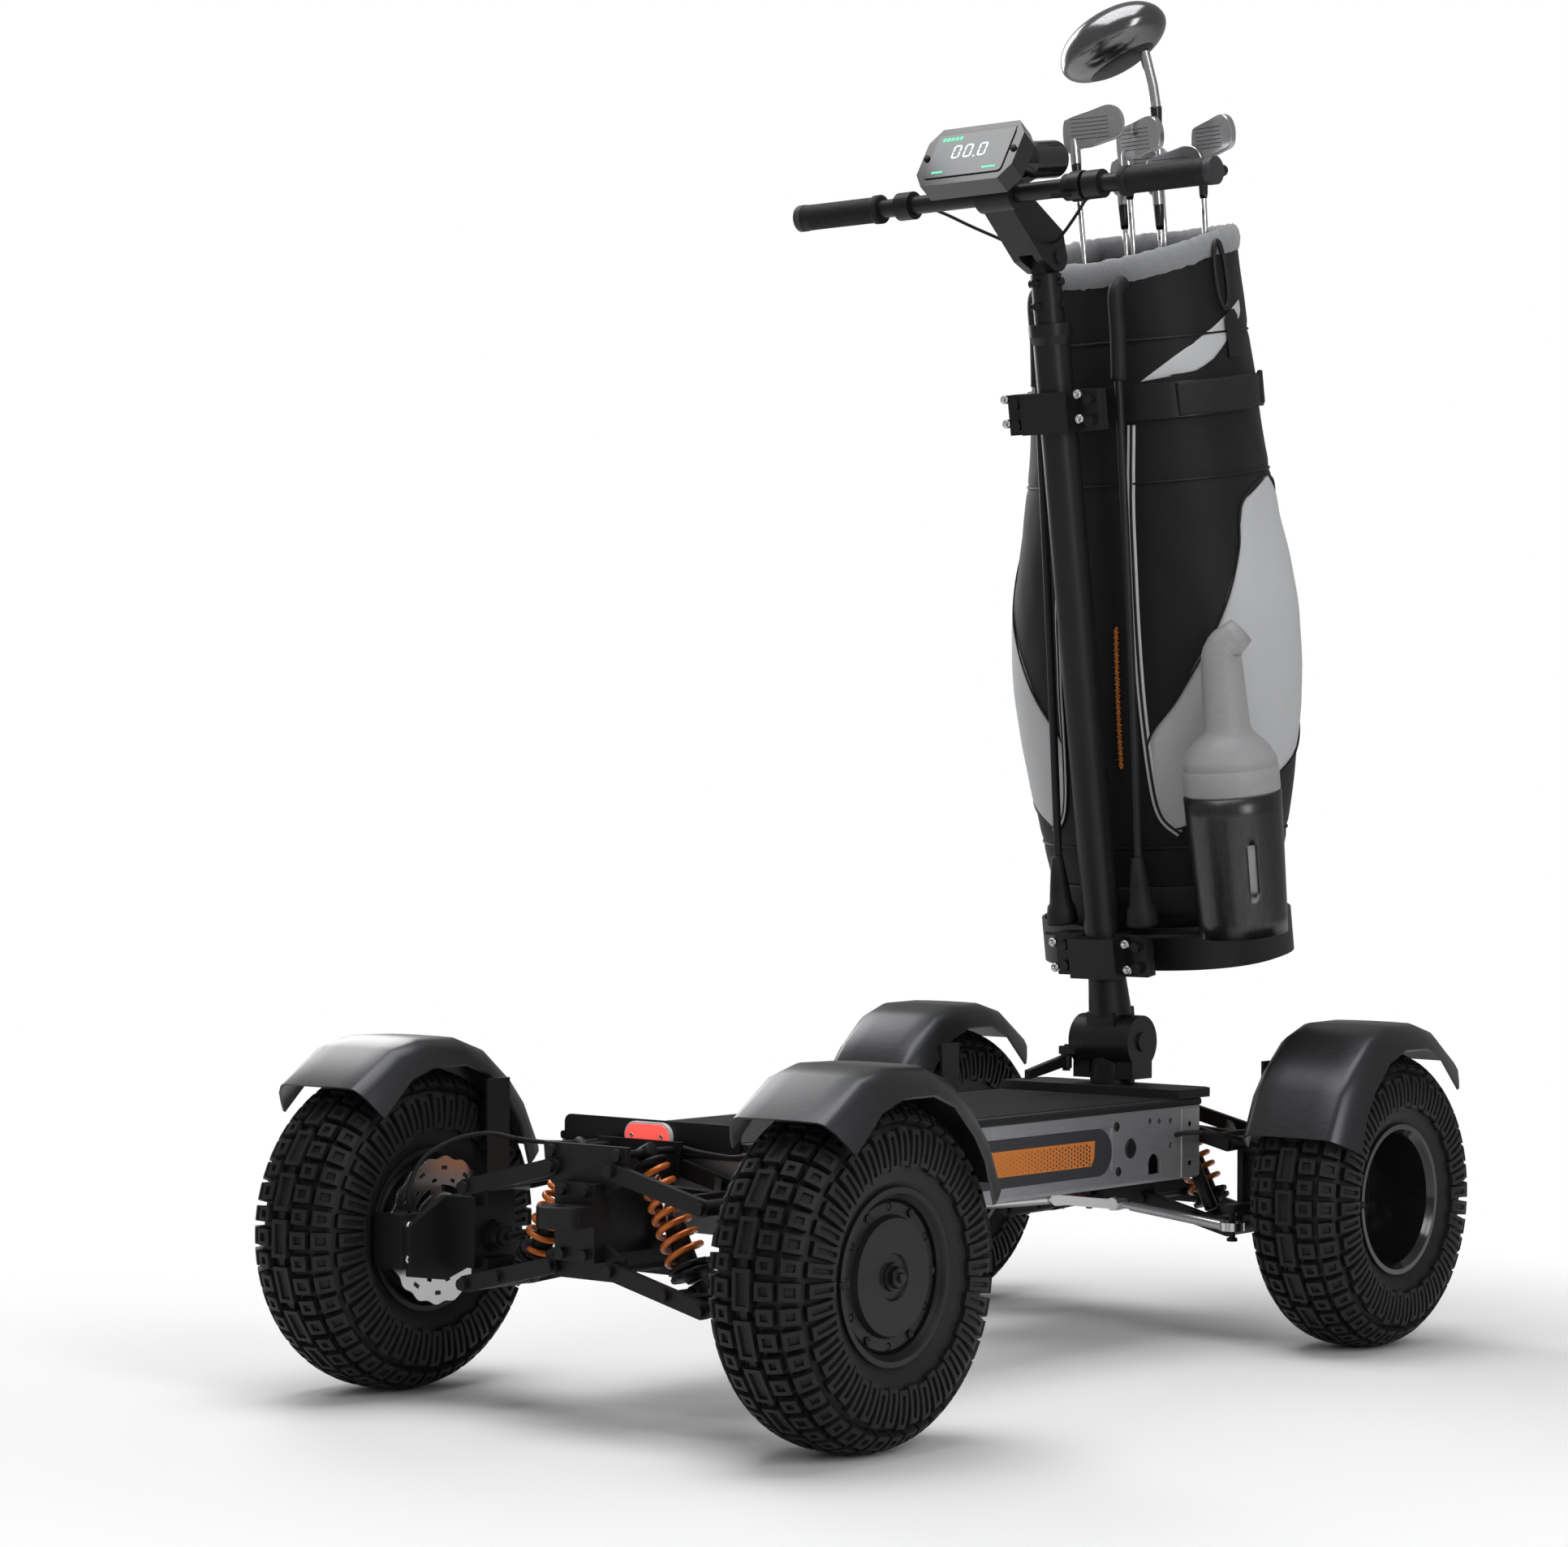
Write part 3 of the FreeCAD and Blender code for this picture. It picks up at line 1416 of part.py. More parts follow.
def headlight():
    y0 = -38
    y1 = 26
    s = bar_up + 40
    shell = rod((0, y1, s), (0, y0, s), 23)
    tail = cone((0, y1, s), (0, y1 + 14, s), 23, 15)
    lens = rod((0, y0, s), (0, y0 - 4, s), 20)
    stalk = plate_yz(
        [
            (y1 - 30, s - 18),
            (y1 - 4, s - 18),
            (bar_back - 12, bar_up + 15),
            (bar_back - 20, bar_up + 4),
        ],
        -8,
        8,
    )
    stalk = stalk.cut(bar_rod(-40, 40, bar_radius + 9 + face_clear))
    lamp = shell.fuse([tail, stalk]).removeSplitter()
    clear = plate_yz(
        [
            (-20, riser_pivot_s),
            (-20, riser_pivot_s + 31),
            (bar_back - 14, bar_up + 13),
            (bar_back, bar_up),
        ],
        -30,
        30,
    )
    return [lamp.cut(clear), lens]


def cables():
    """Two short control cables from the levers down into the riser."""
    solids = []
    for side in (-1, 1):
        x = side * 127.6
        route = [
            (x, bar_back - 25, bar_up - 3),
            (side * 104, bar_back - 30, bar_up - 14),
            (side * 78, bar_back - 44, bar_up - 32),
            (side * 52, bar_back - 58, bar_up - 48),
            (side * 32, bar_back - 66, bar_up - 60),
            (side * (riser_half_width + 0.2), bar_back - 67, bar_up - 62),
        ]
        solids.append(cord(route, 2.0))
    return solids


# ---- golf bag carrier, in the column's frame ----------------------------------
def clamp_pair(s0):
    """Two clamp halves around the column, with four bolts."""
    s1 = s0 + clamp_height - 12
    halves = []
    for side in (-1, 1):
        y0 = side * 0.5
        y1 = side * clamp_half_depth
        block = box(-34, 34, min(y0, y1), max(y0, y1), s0, s1)
        wing = box(-clamp_half_width, clamp_half_width, min(y0, side * 9), max(y0, side * 9), s0, s1)
        half = block.fuse(wing).cut(rod((0, 0, s0 - 1), (0, 0, s1 + 1), column_radius + seat_clear))
        halves.append(half)
    bolts = []
    for x in (-clamp_bolt_x, clamp_bolt_x):
        for s in (s0 + 12, s1 - 12):
            bolts.append(rod((x, -9 - 5, s), (x, 9 + 5, s), 3))
            bolts.append(rod((x, 9, s), (x, 9 + 6, s), 6.5))
            bolts.append(rod((x, -9 - 6, s), (x, -9, s), 6.5))
    fixings = []
    for n in range(0, len(bolts), 3):
        fixings.append(bolts[n].fuse(bolts[n + 1 : n + 3]).removeSplitter())
    drilled = []
    for half in halves:
        for x in (-clamp_bolt_x, clamp_bolt_x):
            for s in (s0 + 12, s1 - 12):
                half = half.cut(rod((x, -20, s), (x, 20, s), 3))
        drilled.append(half.removeSplitter())
    return drilled, fixings


def tray_floor_s():
    return lower_clamp_s + 5


def bag_centre(height):
    return -tray_centre - 4 - height * math.tan(math.radians(bag_tilt))


def bag_half_sizes(height):
    """Half width and half depth of the bag at a height above its base."""
    heights = [0, 80, 250, 420, 540, 640, 760, 900]
    widths = [124, 142, 178, 186, 164, 148, 134, 120]
    depths = [104, 112, 126, 132, 126, 121, 118, 116]
    for n in range(len(heights) - 1):
        if height <= heights[n + 1]:
            break
    share = (height - heights[n]) / (heights[n + 1] - heights[n])
    half_x = widths[n] + share * (widths[n + 1] - widths[n])
    half_y = depths[n] + share * (depths[n + 1] - depths[n])
    return half_x, half_y


def bag_section(height, grow=0.0):
    half_x, half_y = bag_half_sizes(height)
    s = tray_floor_s() + seat_clear + height
    return squircle(half_x + grow, half_y + grow, bag_centre(height), s)


def bag_ring(low, high, inner, outer):
    """Band around the bag between two heights."""
    outside = Part.makeLoft([bag_section(low, outer), bag_section(high, outer)], True, True)
    inside = Part.makeLoft([bag_section(low - 1, inner), bag_section(high + 1, inner)], True, True)
    return outside.cut(inside)


def golf_bag():
    levels = [0, 80, 165, 250, 335, 420, 480, 540, 640, 760, bag_length]
    outside = Part.makeLoft([bag_section(h) for h in levels], True, True)
    hollow_levels = [bag_wall] + levels[1:-1] + [bag_length + 1]
    inside = Part.makeLoft([bag_section(h, -bag_wall) for h in hollow_levels], True, True)
    bag = outside.cut(inside)
    y = bag_centre(bag_length)
    top = tray_floor_s() + bag_length
    slant = plate_yz(
        [(y - 140, top - 3), (y + 140, top - 34), (y + 140, top + 60), (y - 140, top + 60)], -200, 200
    )
    return bag.cut(slant)


def bag_legs():
    """Folded stand legs with rubber feet, either side of the column."""
    solids = []
    foot_s = cup_floor_s() + face_clear
    top_s = upper_clamp_s + 160
    for side in (-1, 1):
        x = side * leg_x
        knee = (x, -50, upper_clamp_s + 60)
        low = (x, -2, foot_s + 78)
        top = (x, -58, top_s)
        leg = rod(low, knee, leg_radius).fuse(rod(knee, top, leg_radius + 3.5))
        foot = cone((x, 0, foot_s), (x, 0, foot_s + 26), 20, 17)
        foot = foot.fuse(cone((x, 0, foot_s + 26), (x, -1, foot_s + 86), 14, 7))
        solids.append(leg.fuse(foot).removeSplitter())
    return solids


def upper_band():
    """Curved arm behind the bag, joined to the front clamp half."""
    low = upper_clamp_s + 4 - tray_floor_s()
    ring = bag_ring(low, low + 44, 1.2, 5.2)
    y = bag_centre(low)
    keep = box(-260, 260, y - 20, 0, upper_clamp_s - 60, upper_clamp_s + 120)
    return ring.common(keep)


def carrier_struts():
    """Short webs from the clamp halves to the upper band."""
    low = upper_clamp_s + 4 - tray_floor_s()
    half_x, half_y = bag_half_sizes(low)
    y_band = bag_centre(low) + half_y
    s0 = upper_clamp_s + 8
    web = box(-24, 24, y_band + 3, -clamp_half_depth + 2, s0, s0 + 34)
    return web


def tray():
    """Shelf with a raised wall that the foot of the bag stands in."""
    s0 = lower_clamp_s
    s1 = s0 + tray_height
    y = -tray_centre
    outside = Part.Face(squircle(tray_half_x, tray_half_y, y, s0)).extrude(Vector(0, 0, s1 - s0))
    w = tray_wall
    inside = Part.Face(
        squircle(tray_half_x - w, tray_half_y - w, y, s0 + 5)
    ).extrude(Vector(0, 0, tray_height))
    dish = outside.cut(inside)
    return dish


def cup_bracket():
    """Plate from the lower clamp out to the bottle cup."""
    s0 = lower_clamp_s + clamp_height - 12
    plate = plate_xy(
        [
            (leg_x + 22, -9),
            (leg_x + 22, 9),
            (-leg_x, 12),
            (cup_x - 10, cup_y + 14),
            (cup_x - 20, cup_y),
            (cup_x - 10, cup_y - 14),
            (-leg_x, -14),
        ],
        s0,
        s0 + 4,
    )
    return plate.cut(rod((0, 0, s0 - 1), (0, 0, s0 + 9), column_radius + 2))


def cup_floor_s():
    return lower_clamp_s + clamp_height - 12 + 4


def bottle_cup():
    s0 = cup_floor_s()
    r0 = cup_radius - 6
    shell = cone((cup_x, cup_y, s0), (cup_x, cup_y, s0 + cup_height), r0, cup_radius)
    hollow = cone(
        (cup_x, cup_y, s0 + cup_wall),
        (cup_x, cup_y, s0 + cup_height + 1),
        r0 - cup_wall,
        cup_radius - cup_wall,
    )
    cup = shell.cut(hollow)
    window = box(cup_x - 5, cup_x + 5, cup_y, cup_y + 90, s0 + 60, s0 + 110)
    window = window.fuse(
        [rod((cup_x, cup_y, s0 + h), (cup_x, cup_y + 90, s0 + h), 5) for h in (60, 110)]
    )
    window.rotate(Vector(cup_x, cup_y, 0), Vector(0, 0, 1), 50)
    return cup.cut(window)


def sand_bottle():
    s0 = cup_floor_s() + cup_wall + face_clear
    rim = cup_floor_s() + cup_height
    r0 = cup_radius - 6 - cup_wall - 1.2
    lower = cone((cup_x, cup_y, s0), (cup_x, cup_y, rim + face_clear), r0, cup_radius - cup_wall - 1.2)
    ring = rod((cup_x, cup_y, rim + face_clear), (cup_x, cup_y, rim + 34), cup_radius - 1)
    lid = cone((cup_x, cup_y, rim + 34), (cup_x, cup_y, rim + 44), cup_radius - 1, cup_radius - 3)
    shoulder = cone((cup_x, cup_y, rim + 44), (cup_x, cup_y, rim + 82), cup_radius - 3, 29)
    neck = cone((cup_x, cup_y, rim + 82), (cup_x, cup_y, rim + 176), 29, bottle_spout_radius)
    elbow = Part.makeSphere(bottle_spout_radius, Vector(cup_x, cup_y, rim + 176))
    toe = (cup_x - 26, cup_y - 14, rim + 200)
    spout = cone((cup_x, cup_y, rim + 176), toe, bottle_spout_radius, 17)
    return lower.fuse([ring, lid, shoulder, neck, elbow, spout]).removeSplitter()


def golf_clubs():
    """A driver and five irons that stand in the bag."""
    solids = []
    base = tray_floor_s() + bag_wall + seat_clear + 2 * face_clear
    irons = [
        (62, -178, 1112, 24),
        (14, -222, 1092, -12),
        (44, -250, 1056, 30),
        (-38, -206, 1050, 8),
        (-76, -254, 1084, -18),
    ]
    for x, y, top, turn in irons:
        foot = (x * 0.75, -190 + (y + 220) * 0.7, base)
        solids.append(rod(foot, (x, y, top - 22 - 2 * face_clear), shaft_radius))
        blade = plate_xz([(-8, -6), (8, -10), (12, 34), (-44, 48), (-66, 30), (-62, 6)], -5, 5)
        head = blade.fuse(rod((0, 0, -22), (0, 0, 10), 7.5))
        head.Placement = Placement(Vector(x, y, top), Rotation(Vector(0, 0, 1), turn))
        solids.append(head.removeSplitter())
    x = -20
    y = -246
    top = 1172
    solids.append(rod((x * 0.75, -222, base), (x, y, top - 22 - face_clear), shaft_radius))
    stretch = Matrix()
    stretch.scale(62, 52, 34)
    head = Part.makeSphere(1).transformGeometry(stretch)
    head.Placement = Placement(Vector(x + 44, y + 8, top + 52), Rotation(Vector(0, 1, 0), 18))
    hosel = rod((x, y, top - 22), (x + 6, y, top + 46), 8)
    solids.append(hosel.fuse(head).removeSplitter())
    return solids


def build_steering():
    add("steering_neck", *steering_neck(), fold_pin(), pitman())
    add("centre_link", centre_link())
    add("tie_rod_left", tie_rod())
    add("tie_rod_right", mirror_x(tie_rod()))
    add("fold_lever", fold_lever())


def build_column():
    add("column_tube", lean(column_tube()))
    add("stem", lean(stem()))
    add("riser", *[lean(s) for s in riser()])
    perches = lever_perch(1) + lever_perch(-1)
    throttle_collar, throttle_paddle = throttle_parts()
    add("handlebar", *[lean(s) for s in handlebar() + perches + [throttle_collar]])
    add("grips", *[lean(s) for s in grips()])
    add("brake_lever_left", lean(brake_lever(1)))
    add("brake_lever_right", lean(brake_lever(-1)))
    add("throttle", lean(throttle_paddle))
    add("display", *[lean(s) for s in display()])
    add("headlight", *[lean(s) for s in headlight()])
    add("cables", *[lean(s) for s in cables()])


def build_carrier():
    upper_halves, upper_bolts = clamp_pair(upper_clamp_s)
    lower_halves, lower_bolts = clamp_pair(lower_clamp_s)
    band = upper_halves[0].fuse([carrier_struts(), upper_band()]).removeSplitter()
    shelf = lower_halves[0].fuse([tray()]).removeSplitter()
    carrier = [band, upper_halves[1], shelf, lower_halves[1], cup_bracket()]
    add("bag_carrier", *[lean(s) for s in carrier + upper_bolts + lower_bolts])
    low = upper_clamp_s + 7 - tray_floor_s()
    upper_strap = bag_ring(low, low + strap_height, 1.2, 3.4)
    y = bag_centre(low)
    upper_strap = upper_strap.common(box(-260, 260, y - 260, y - 20 - face_clear, 0, 1200))
    lower_strap = bag_ring(tray_height + 8, tray_height + 8 + strap_height, 1.2, 3.4)
    add("bag_straps", lean(upper_strap), lean(lower_strap))
    add("golf_bag", lean(golf_bag()), *[lean(s) for s in bag_legs()])
    add("bottle_cup", lean(bottle_cup()))
    add("sand_bottle", lean(sand_bottle()))
    add("golf_clubs", *[lean(s) for s in golf_clubs()])


build_corners()
build_chassis()
build_steering()
build_column()
build_carrier()

os.makedirs("parts", exist_ok=True)
for node, solids in nodes.items():
    for solid in solids:
        if not solid.isValid():
            print("invalid solid in", node)
    shape = solids[0] if len(solids) == 1 else Part.makeCompound(solids)
    shape.exportStep("parts/" + node + ".step")
    bounds = shape.BoundBox
    print(
        node,
        len(solids),
        [
            round(v, 1)
            for v in (bounds.XMin, bounds.XMax, bounds.YMin, bounds.YMax, bounds.ZMin, bounds.ZMax)
        ],
    )
print("nodes", len(nodes))
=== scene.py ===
import math

import bmesh
import bpy
from mathutils import Matrix, Vector, noise
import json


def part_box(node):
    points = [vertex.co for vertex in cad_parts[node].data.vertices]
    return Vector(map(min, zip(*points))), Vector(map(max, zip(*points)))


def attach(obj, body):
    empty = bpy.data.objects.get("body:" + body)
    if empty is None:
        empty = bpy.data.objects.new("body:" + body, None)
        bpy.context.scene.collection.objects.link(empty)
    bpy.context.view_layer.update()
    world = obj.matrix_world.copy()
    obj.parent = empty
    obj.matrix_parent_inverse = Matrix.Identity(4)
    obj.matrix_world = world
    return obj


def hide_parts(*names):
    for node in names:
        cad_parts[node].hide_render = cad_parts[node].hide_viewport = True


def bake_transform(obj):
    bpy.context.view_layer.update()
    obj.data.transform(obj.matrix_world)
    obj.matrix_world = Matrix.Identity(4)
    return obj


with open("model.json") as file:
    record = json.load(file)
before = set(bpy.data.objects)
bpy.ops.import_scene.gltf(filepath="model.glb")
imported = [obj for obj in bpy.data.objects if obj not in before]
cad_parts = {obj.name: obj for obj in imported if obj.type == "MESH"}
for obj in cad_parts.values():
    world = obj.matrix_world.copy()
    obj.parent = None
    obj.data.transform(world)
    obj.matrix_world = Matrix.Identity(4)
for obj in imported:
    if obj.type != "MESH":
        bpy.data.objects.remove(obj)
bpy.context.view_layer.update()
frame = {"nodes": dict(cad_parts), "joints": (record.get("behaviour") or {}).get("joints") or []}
nodes = frame["nodes"]
joints = {joint["name"]: joint for joint in frame["joints"]}
print("frame loaded:", len(nodes), "nodes")

corners = [(end + "_" + side + "_", end, side) for end in ("front", "rear") for side in ("left", "right")]


# finishes

def inkOf(tree, kind, **inputs):
    # one shader node with some of its inputs set by name
    node = tree.nodes.new(kind)
    for name, value in inputs.items():
        node.inputs[name].default_value = value
    return node


def makeFinish(name, color, second=None, rough=0.5, roughSpan=0.1, metal=0.0, grain=300.0,
               bump=0.0, stretch=(1, 1, 1), coat=0.0, sheen=0.0, edge=0.0, detail=4.0, shine=0.3):
    material = bpy.data.materials.new(name)
    material.use_nodes = True
    tree = material.node_tree
    link = tree.links.new
    shader = tree.nodes["Principled BSDF"]
    shader.inputs["Metallic"].default_value = metal
    shader.inputs["Coat Weight"].default_value = coat
    shader.inputs["Coat Roughness"].default_value = 0.12
    shader.inputs["Sheen Weight"].default_value = sheen
    shader.inputs["Specular IOR Level"].default_value = shine
    place = tree.nodes.new("ShaderNodeTexCoord")
    spread = inkOf(tree, "ShaderNodeMapping", Scale=stretch)
    link(place.outputs["Object"], spread.inputs["Vector"])
    cloud = inkOf(tree, "ShaderNodeTexNoise", Scale=grain, Detail=detail)
    link(spread.outputs["Vector"], cloud.inputs["Vector"])
    ramp = tree.nodes.new("ShaderNodeValToRGB")
    ramp.color_ramp.elements[0].position = 0.32
    ramp.color_ramp.elements[1].position = 0.68
    ramp.color_ramp.elements[0].color = (*color, 1)
    ramp.color_ramp.elements[1].color = (*(second or [c * 1.25 for c in color]), 1)
    link(cloud.outputs["Fac"], ramp.inputs["Fac"])
    link(ramp.outputs["Color"], shader.inputs["Base Color"])
    span = tree.nodes.new("ShaderNodeMapRange")
    span.inputs["To Min"].default_value = max(0.02, rough - roughSpan / 2)
    span.inputs["To Max"].default_value = min(1.0, rough + roughSpan / 2)
    link(cloud.outputs["Fac"], span.inputs["Value"])
    link(span.outputs["Result"], shader.inputs["Roughness"])
    relief = inkOf(tree, "ShaderNodeBump", Strength=1.0, Distance=bump)
    link(cloud.outputs["Fac"], relief.inputs["Height"])
    if edge:
        soft = tree.nodes.new("ShaderNodeBevel")
        soft.samples = 4
        soft.inputs["Radius"].default_value = edge
        link(soft.outputs["Normal"], relief.inputs["Normal"])
    link(relief.outputs["Normal"], shader.inputs["Normal"])
    return material


def glow(material, color, strength):
    shader = material.node_tree.nodes["Principled BSDF"]
    shader.inputs["Emission Color"].default_value = (*color, 1)
    shader.inputs["Emission Strength"].default_value = strength
    return material


paint = {
    "satinBlack": makeFinish("satinBlack", (0.009, 0.009, 0.0095), rough=0.38, grain=900, bump=0.00006,
                             edge=0.0009),
    "castBlack": makeFinish("castBlack", (0.008, 0.008, 0.0085), rough=0.48, grain=1600, bump=0.0001,
                            edge=0.001),
    "glossBlack": makeFinish("glossBlack", (0.008, 0.008, 0.009), rough=0.16, grain=60, coat=0.6,
                             edge=0.0008),
    "moulded": makeFinish("moulded", (0.009, 0.009, 0.0095), rough=0.55, grain=2200, bump=0.00012,
                          edge=0.0007),
    "tyreRubber": makeFinish("tyreRubber", (0.008, 0.008, 0.0084), (0.013, 0.013, 0.0135), rough=0.6,
                             grain=140,
                             bump=0.0002, detail=9),
    "softRubber": makeFinish("softRubber", (0.008, 0.008, 0.0085), rough=0.6, grain=1800, bump=0.00015),
    "matRubber": makeFinish("matRubber", (0.012, 0.012, 0.0125), rough=0.55, grain=1400, bump=0.00015),
    "fenderMetal": makeFinish("fenderMetal", (0.045, 0.0455, 0.048), (0.062, 0.063, 0.067), rough=0.33,
                              roughSpan=0.1,
                              metal=0.8, grain=1500, stretch=(0.05, 1, 1), bump=0.00001, detail=2),
    "deckSilver": makeFinish("deckSilver", (0.36, 0.365, 0.38), (0.42, 0.425, 0.44), rough=0.42, metal=0.7,
                             grain=500,
                             stretch=(1, 0.08, 1), bump=0.00004, edge=0.0009),
    "steel": makeFinish("steel", (0.55, 0.55, 0.56), rough=0.24, metal=1.0, grain=700, edge=0.0004),
    "chrome": makeFinish("chrome", (0.75, 0.75, 0.76), rough=0.08, roughSpan=0.04, metal=1.0, grain=90),
    "orange": makeFinish("orange", (0.62, 0.14, 0.018), (0.7, 0.19, 0.03), rough=0.3, metal=0.25, grain=400,
                         coat=0.4),
    "orangeInlay": makeFinish("orangeInlay", (0.55, 0.16, 0.03), (0.6, 0.2, 0.04), rough=0.5, grain=900,
                              bump=0.00008),
    "bottlePlastic": makeFinish("bottlePlastic", (0.30, 0.302, 0.308), (0.325, 0.327, 0.333), rough=0.4,
                                grain=220,
                                bump=0.00002),
    "cupMetal": makeFinish("cupMetal", (0.055, 0.055, 0.057), (0.07, 0.07, 0.072), rough=0.3, roughSpan=0.05,
                           metal=0.9,
                           grain=300, stretch=(1, 1, 0.1), bump=0.00001),
    "webbing": makeFinish("webbing", (0.007, 0.007, 0.0075), (0.022, 0.022, 0.023), rough=0.6, grain=420,
                          bump=0.0005,
                          stretch=(1, 1, 7), detail=1),
    "bagCloth": makeFinish("bagCloth", (0.006, 0.0061, 0.0065), (0.010, 0.0102, 0.0108), rough=0.6,
                           grain=1300,
                           bump=0.0002, sheen=0.04, shine=0.22),
    "bagGrey": makeFinish("bagGrey", (0.46, 0.465, 0.475), (0.56, 0.565, 0.575), rough=0.7, grain=900,
                          bump=0.0003,
                          stretch=(1, 1, 2.5), sheen=0.1),
    "bagTrim": makeFinish("bagTrim", (0.006, 0.006, 0.0065), rough=0.45, grain=1900, bump=0.0001),
    "fleece": makeFinish("fleece", (0.20, 0.203, 0.21), (0.29, 0.295, 0.305), rough=0.9, grain=700,
                         bump=0.0008,
                         sheen=0.4),
    "legMetal": makeFinish("legMetal", (0.02, 0.02, 0.021), rough=0.38, metal=0.3, grain=800),
    "clubSilver": makeFinish("clubSilver", (0.5, 0.5, 0.51), (0.62, 0.62, 0.63), rough=0.22, roughSpan=0.1,
                             metal=1.0,
                             grain=300, stretch=(1, 1, 6), bump=0.00002),
    "driverMetal": makeFinish("driverMetal", (0.13, 0.13, 0.135), (0.2, 0.2, 0.205), rough=0.2, roughSpan=0.1,
                              metal=1.0,
                              grain=200, stretch=(1, 5, 5), bump=0.00001, coat=0.3),
    "clubDark": makeFinish("clubDark", (0.02, 0.02, 0.022), rough=0.4, metal=0.5, grain=500),
    "brushedAlloy": makeFinish("brushedAlloy", (0.5, 0.505, 0.515), (0.6, 0.605, 0.615), rough=0.34,
                               metal=0.85,
                               grain=420, stretch=(1, 0.05, 1), bump=0.00004, edge=0.0007),
    "insetDark": makeFinish("insetDark", (0.045, 0.046, 0.05), (0.06, 0.061, 0.066), rough=0.5, metal=0.4,
                            grain=900,
                            stretch=(1, 0.1, 1), bump=0.00004),
    "displayGlass": makeFinish("displayGlass", (0.012, 0.015, 0.02), rough=0.09, roughSpan=0.03, grain=30,
                               coat=0.7),
    "shellGrey": makeFinish("shellGrey", (0.035, 0.036, 0.038), rough=0.46, grain=1500, bump=0.00008,
                            edge=0.0009),
    "digitWhite": glow(makeFinish("digitWhite", (0.8, 0.85, 0.85), rough=0.4, grain=100), (0.8, 0.95, 1.0),
                       0.7),
    "digitGreen": glow(makeFinish("digitGreen", (0.1, 0.6, 0.3), rough=0.4, grain=100), (0.1, 0.9, 0.4), 0.7),
    "lampLens": makeFinish("lampLens", (0.5, 0.52, 0.55), rough=0.1, roughSpan=0.04, grain=60, coat=0.8),
    "whiteRim": makeFinish("whiteRim", (0.7, 0.7, 0.7), rough=0.3, grain=100, coat=0.3),
    "tailRed": glow(makeFinish("tailRed", (0.75, 0.06, 0.05), rough=0.25, grain=300, coat=0.5),
                    (1.0, 0.1, 0.08), 0.9),
}


def dress(node, name):
    # carried-over frame part: one finish over every slot
    mesh = nodes[node].data
    mesh.materials.clear()
    mesh.materials.append(paint[name])


plainParts = {
    "deck_housing": "deckSilver", "deck_lid": "moulded", "battery_and_controller": "satinBlack",
    "rear_bumper": "satinBlack", "tail_light": "tailRed", "subframes": "castBlack",
              "wheel_hoses": "softRubber",
    "steering_neck": "satinBlack", "centre_link": "steel", "tie_rod_left": "steel", "tie_rod_right": "steel",
    "fold_lever": "satinBlack", "column_tube": "satinBlack", "stem": "satinBlack", "riser": "satinBlack",
    "handlebar": "satinBlack", "grips": "softRubber", "brake_lever_left": "satinBlack",
    "brake_lever_right": "satinBlack", "throttle": "moulded", "display": "glossBlack",
              "headlight": "glossBlack",
    "cables": "softRubber", "bag_carrier": "satinBlack", "bag_straps": "webbing", "golf_bag": "webbing",
    "bottle_cup": "cupMetal", "sand_bottle": "bottlePlastic", "golf_clubs": "chrome", "deck_mat": "matRubber",
}
for node, name in plainParts.items():
    dress(node, name)
for corner, end, side in corners:
    for part, name in (("tyre", "tyreRubber"), ("wheel", "glossBlack" if end == "front" else "satinBlack"),
                       ("knuckle", "castBlack"), ("upper_arm", "castBlack"), ("lower_arm", "castBlack"),
                       ("fender", "fenderMetal"), ("shock", "orange")):
        dress(corner + part, name)
    if end == "front":
        dress(corner + "upright", "castBlack")
print("finishes ready:", len(paint))


# building helpers

def newPiece(name, verts, faces, finish, body, slot, stands=(), smooth=True):
    mesh = bpy.data.meshes.new(name)
    mesh.from_pydata([tuple(v) for v in verts], [], faces)
    mesh.validate()
    mesh.update()
    piece = bpy.data.objects.new(name, mesh)
    bpy.context.scene.collection.objects.link(piece)
    mesh.materials.append(paint[finish] if isinstance(finish, str) else finish)
    cleaner = bmesh.new()
    cleaner.from_mesh(mesh)
    bmesh.ops.recalc_face_normals(cleaner, faces=cleaner.faces)
    cleaner.to_mesh(mesh)
    cleaner.free()
    if smooth:
        mesh.shade_smooth()
    if body:
        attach(piece, body)
    if stands:
        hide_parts(*stands)
    return piece


# camera, light and floor

view = {
    "eye": (-2.66744, 3.52223, 0.65350), "right": (-0.77820, -0.62799, 0.00571),
    "up": (-0.00021, 0.00935, 0.99996), "forward": (0.62802, -0.77816, 0.00741), "focalPerWidth": 2.4234,
}


def setCamera():
    camera = bpy.data.cameras.new("lens")
    eye = bpy.data.objects.new("eye", camera)
    bpy.context.scene.collection.objects.link(eye)
    columns = [Vector(view["right"]), Vector(view["up"]), -Vector(view["forward"])]
    turn = Matrix([[column[row] for column in columns] for row in range(3)])
    eye.matrix_world = Matrix.Translation(view["eye"]) @ turn.to_4x4()
    camera.sensor_fit = "HORIZONTAL"
    camera.lens = view["focalPerWidth"] * camera.sensor_width
    camera.clip_end = 60
    bpy.context.scene.camera = eye


def areaLamp(name, place, size, power, aim=(0, 0, 0.5)):
    lamp = bpy.data.lights.new(name, "AREA")
    lamp.energy = power
    lamp.shape = "RECTANGLE"
    lamp.size, lamp.size_y = size
    item = bpy.data.objects.new(name, lamp)
    bpy.context.scene.collection.objects.link(item)
    item.location = place
    item.rotation_euler = (Vector(aim) - Vector(place)).to_track_quat("-Z", "Y").to_euler()


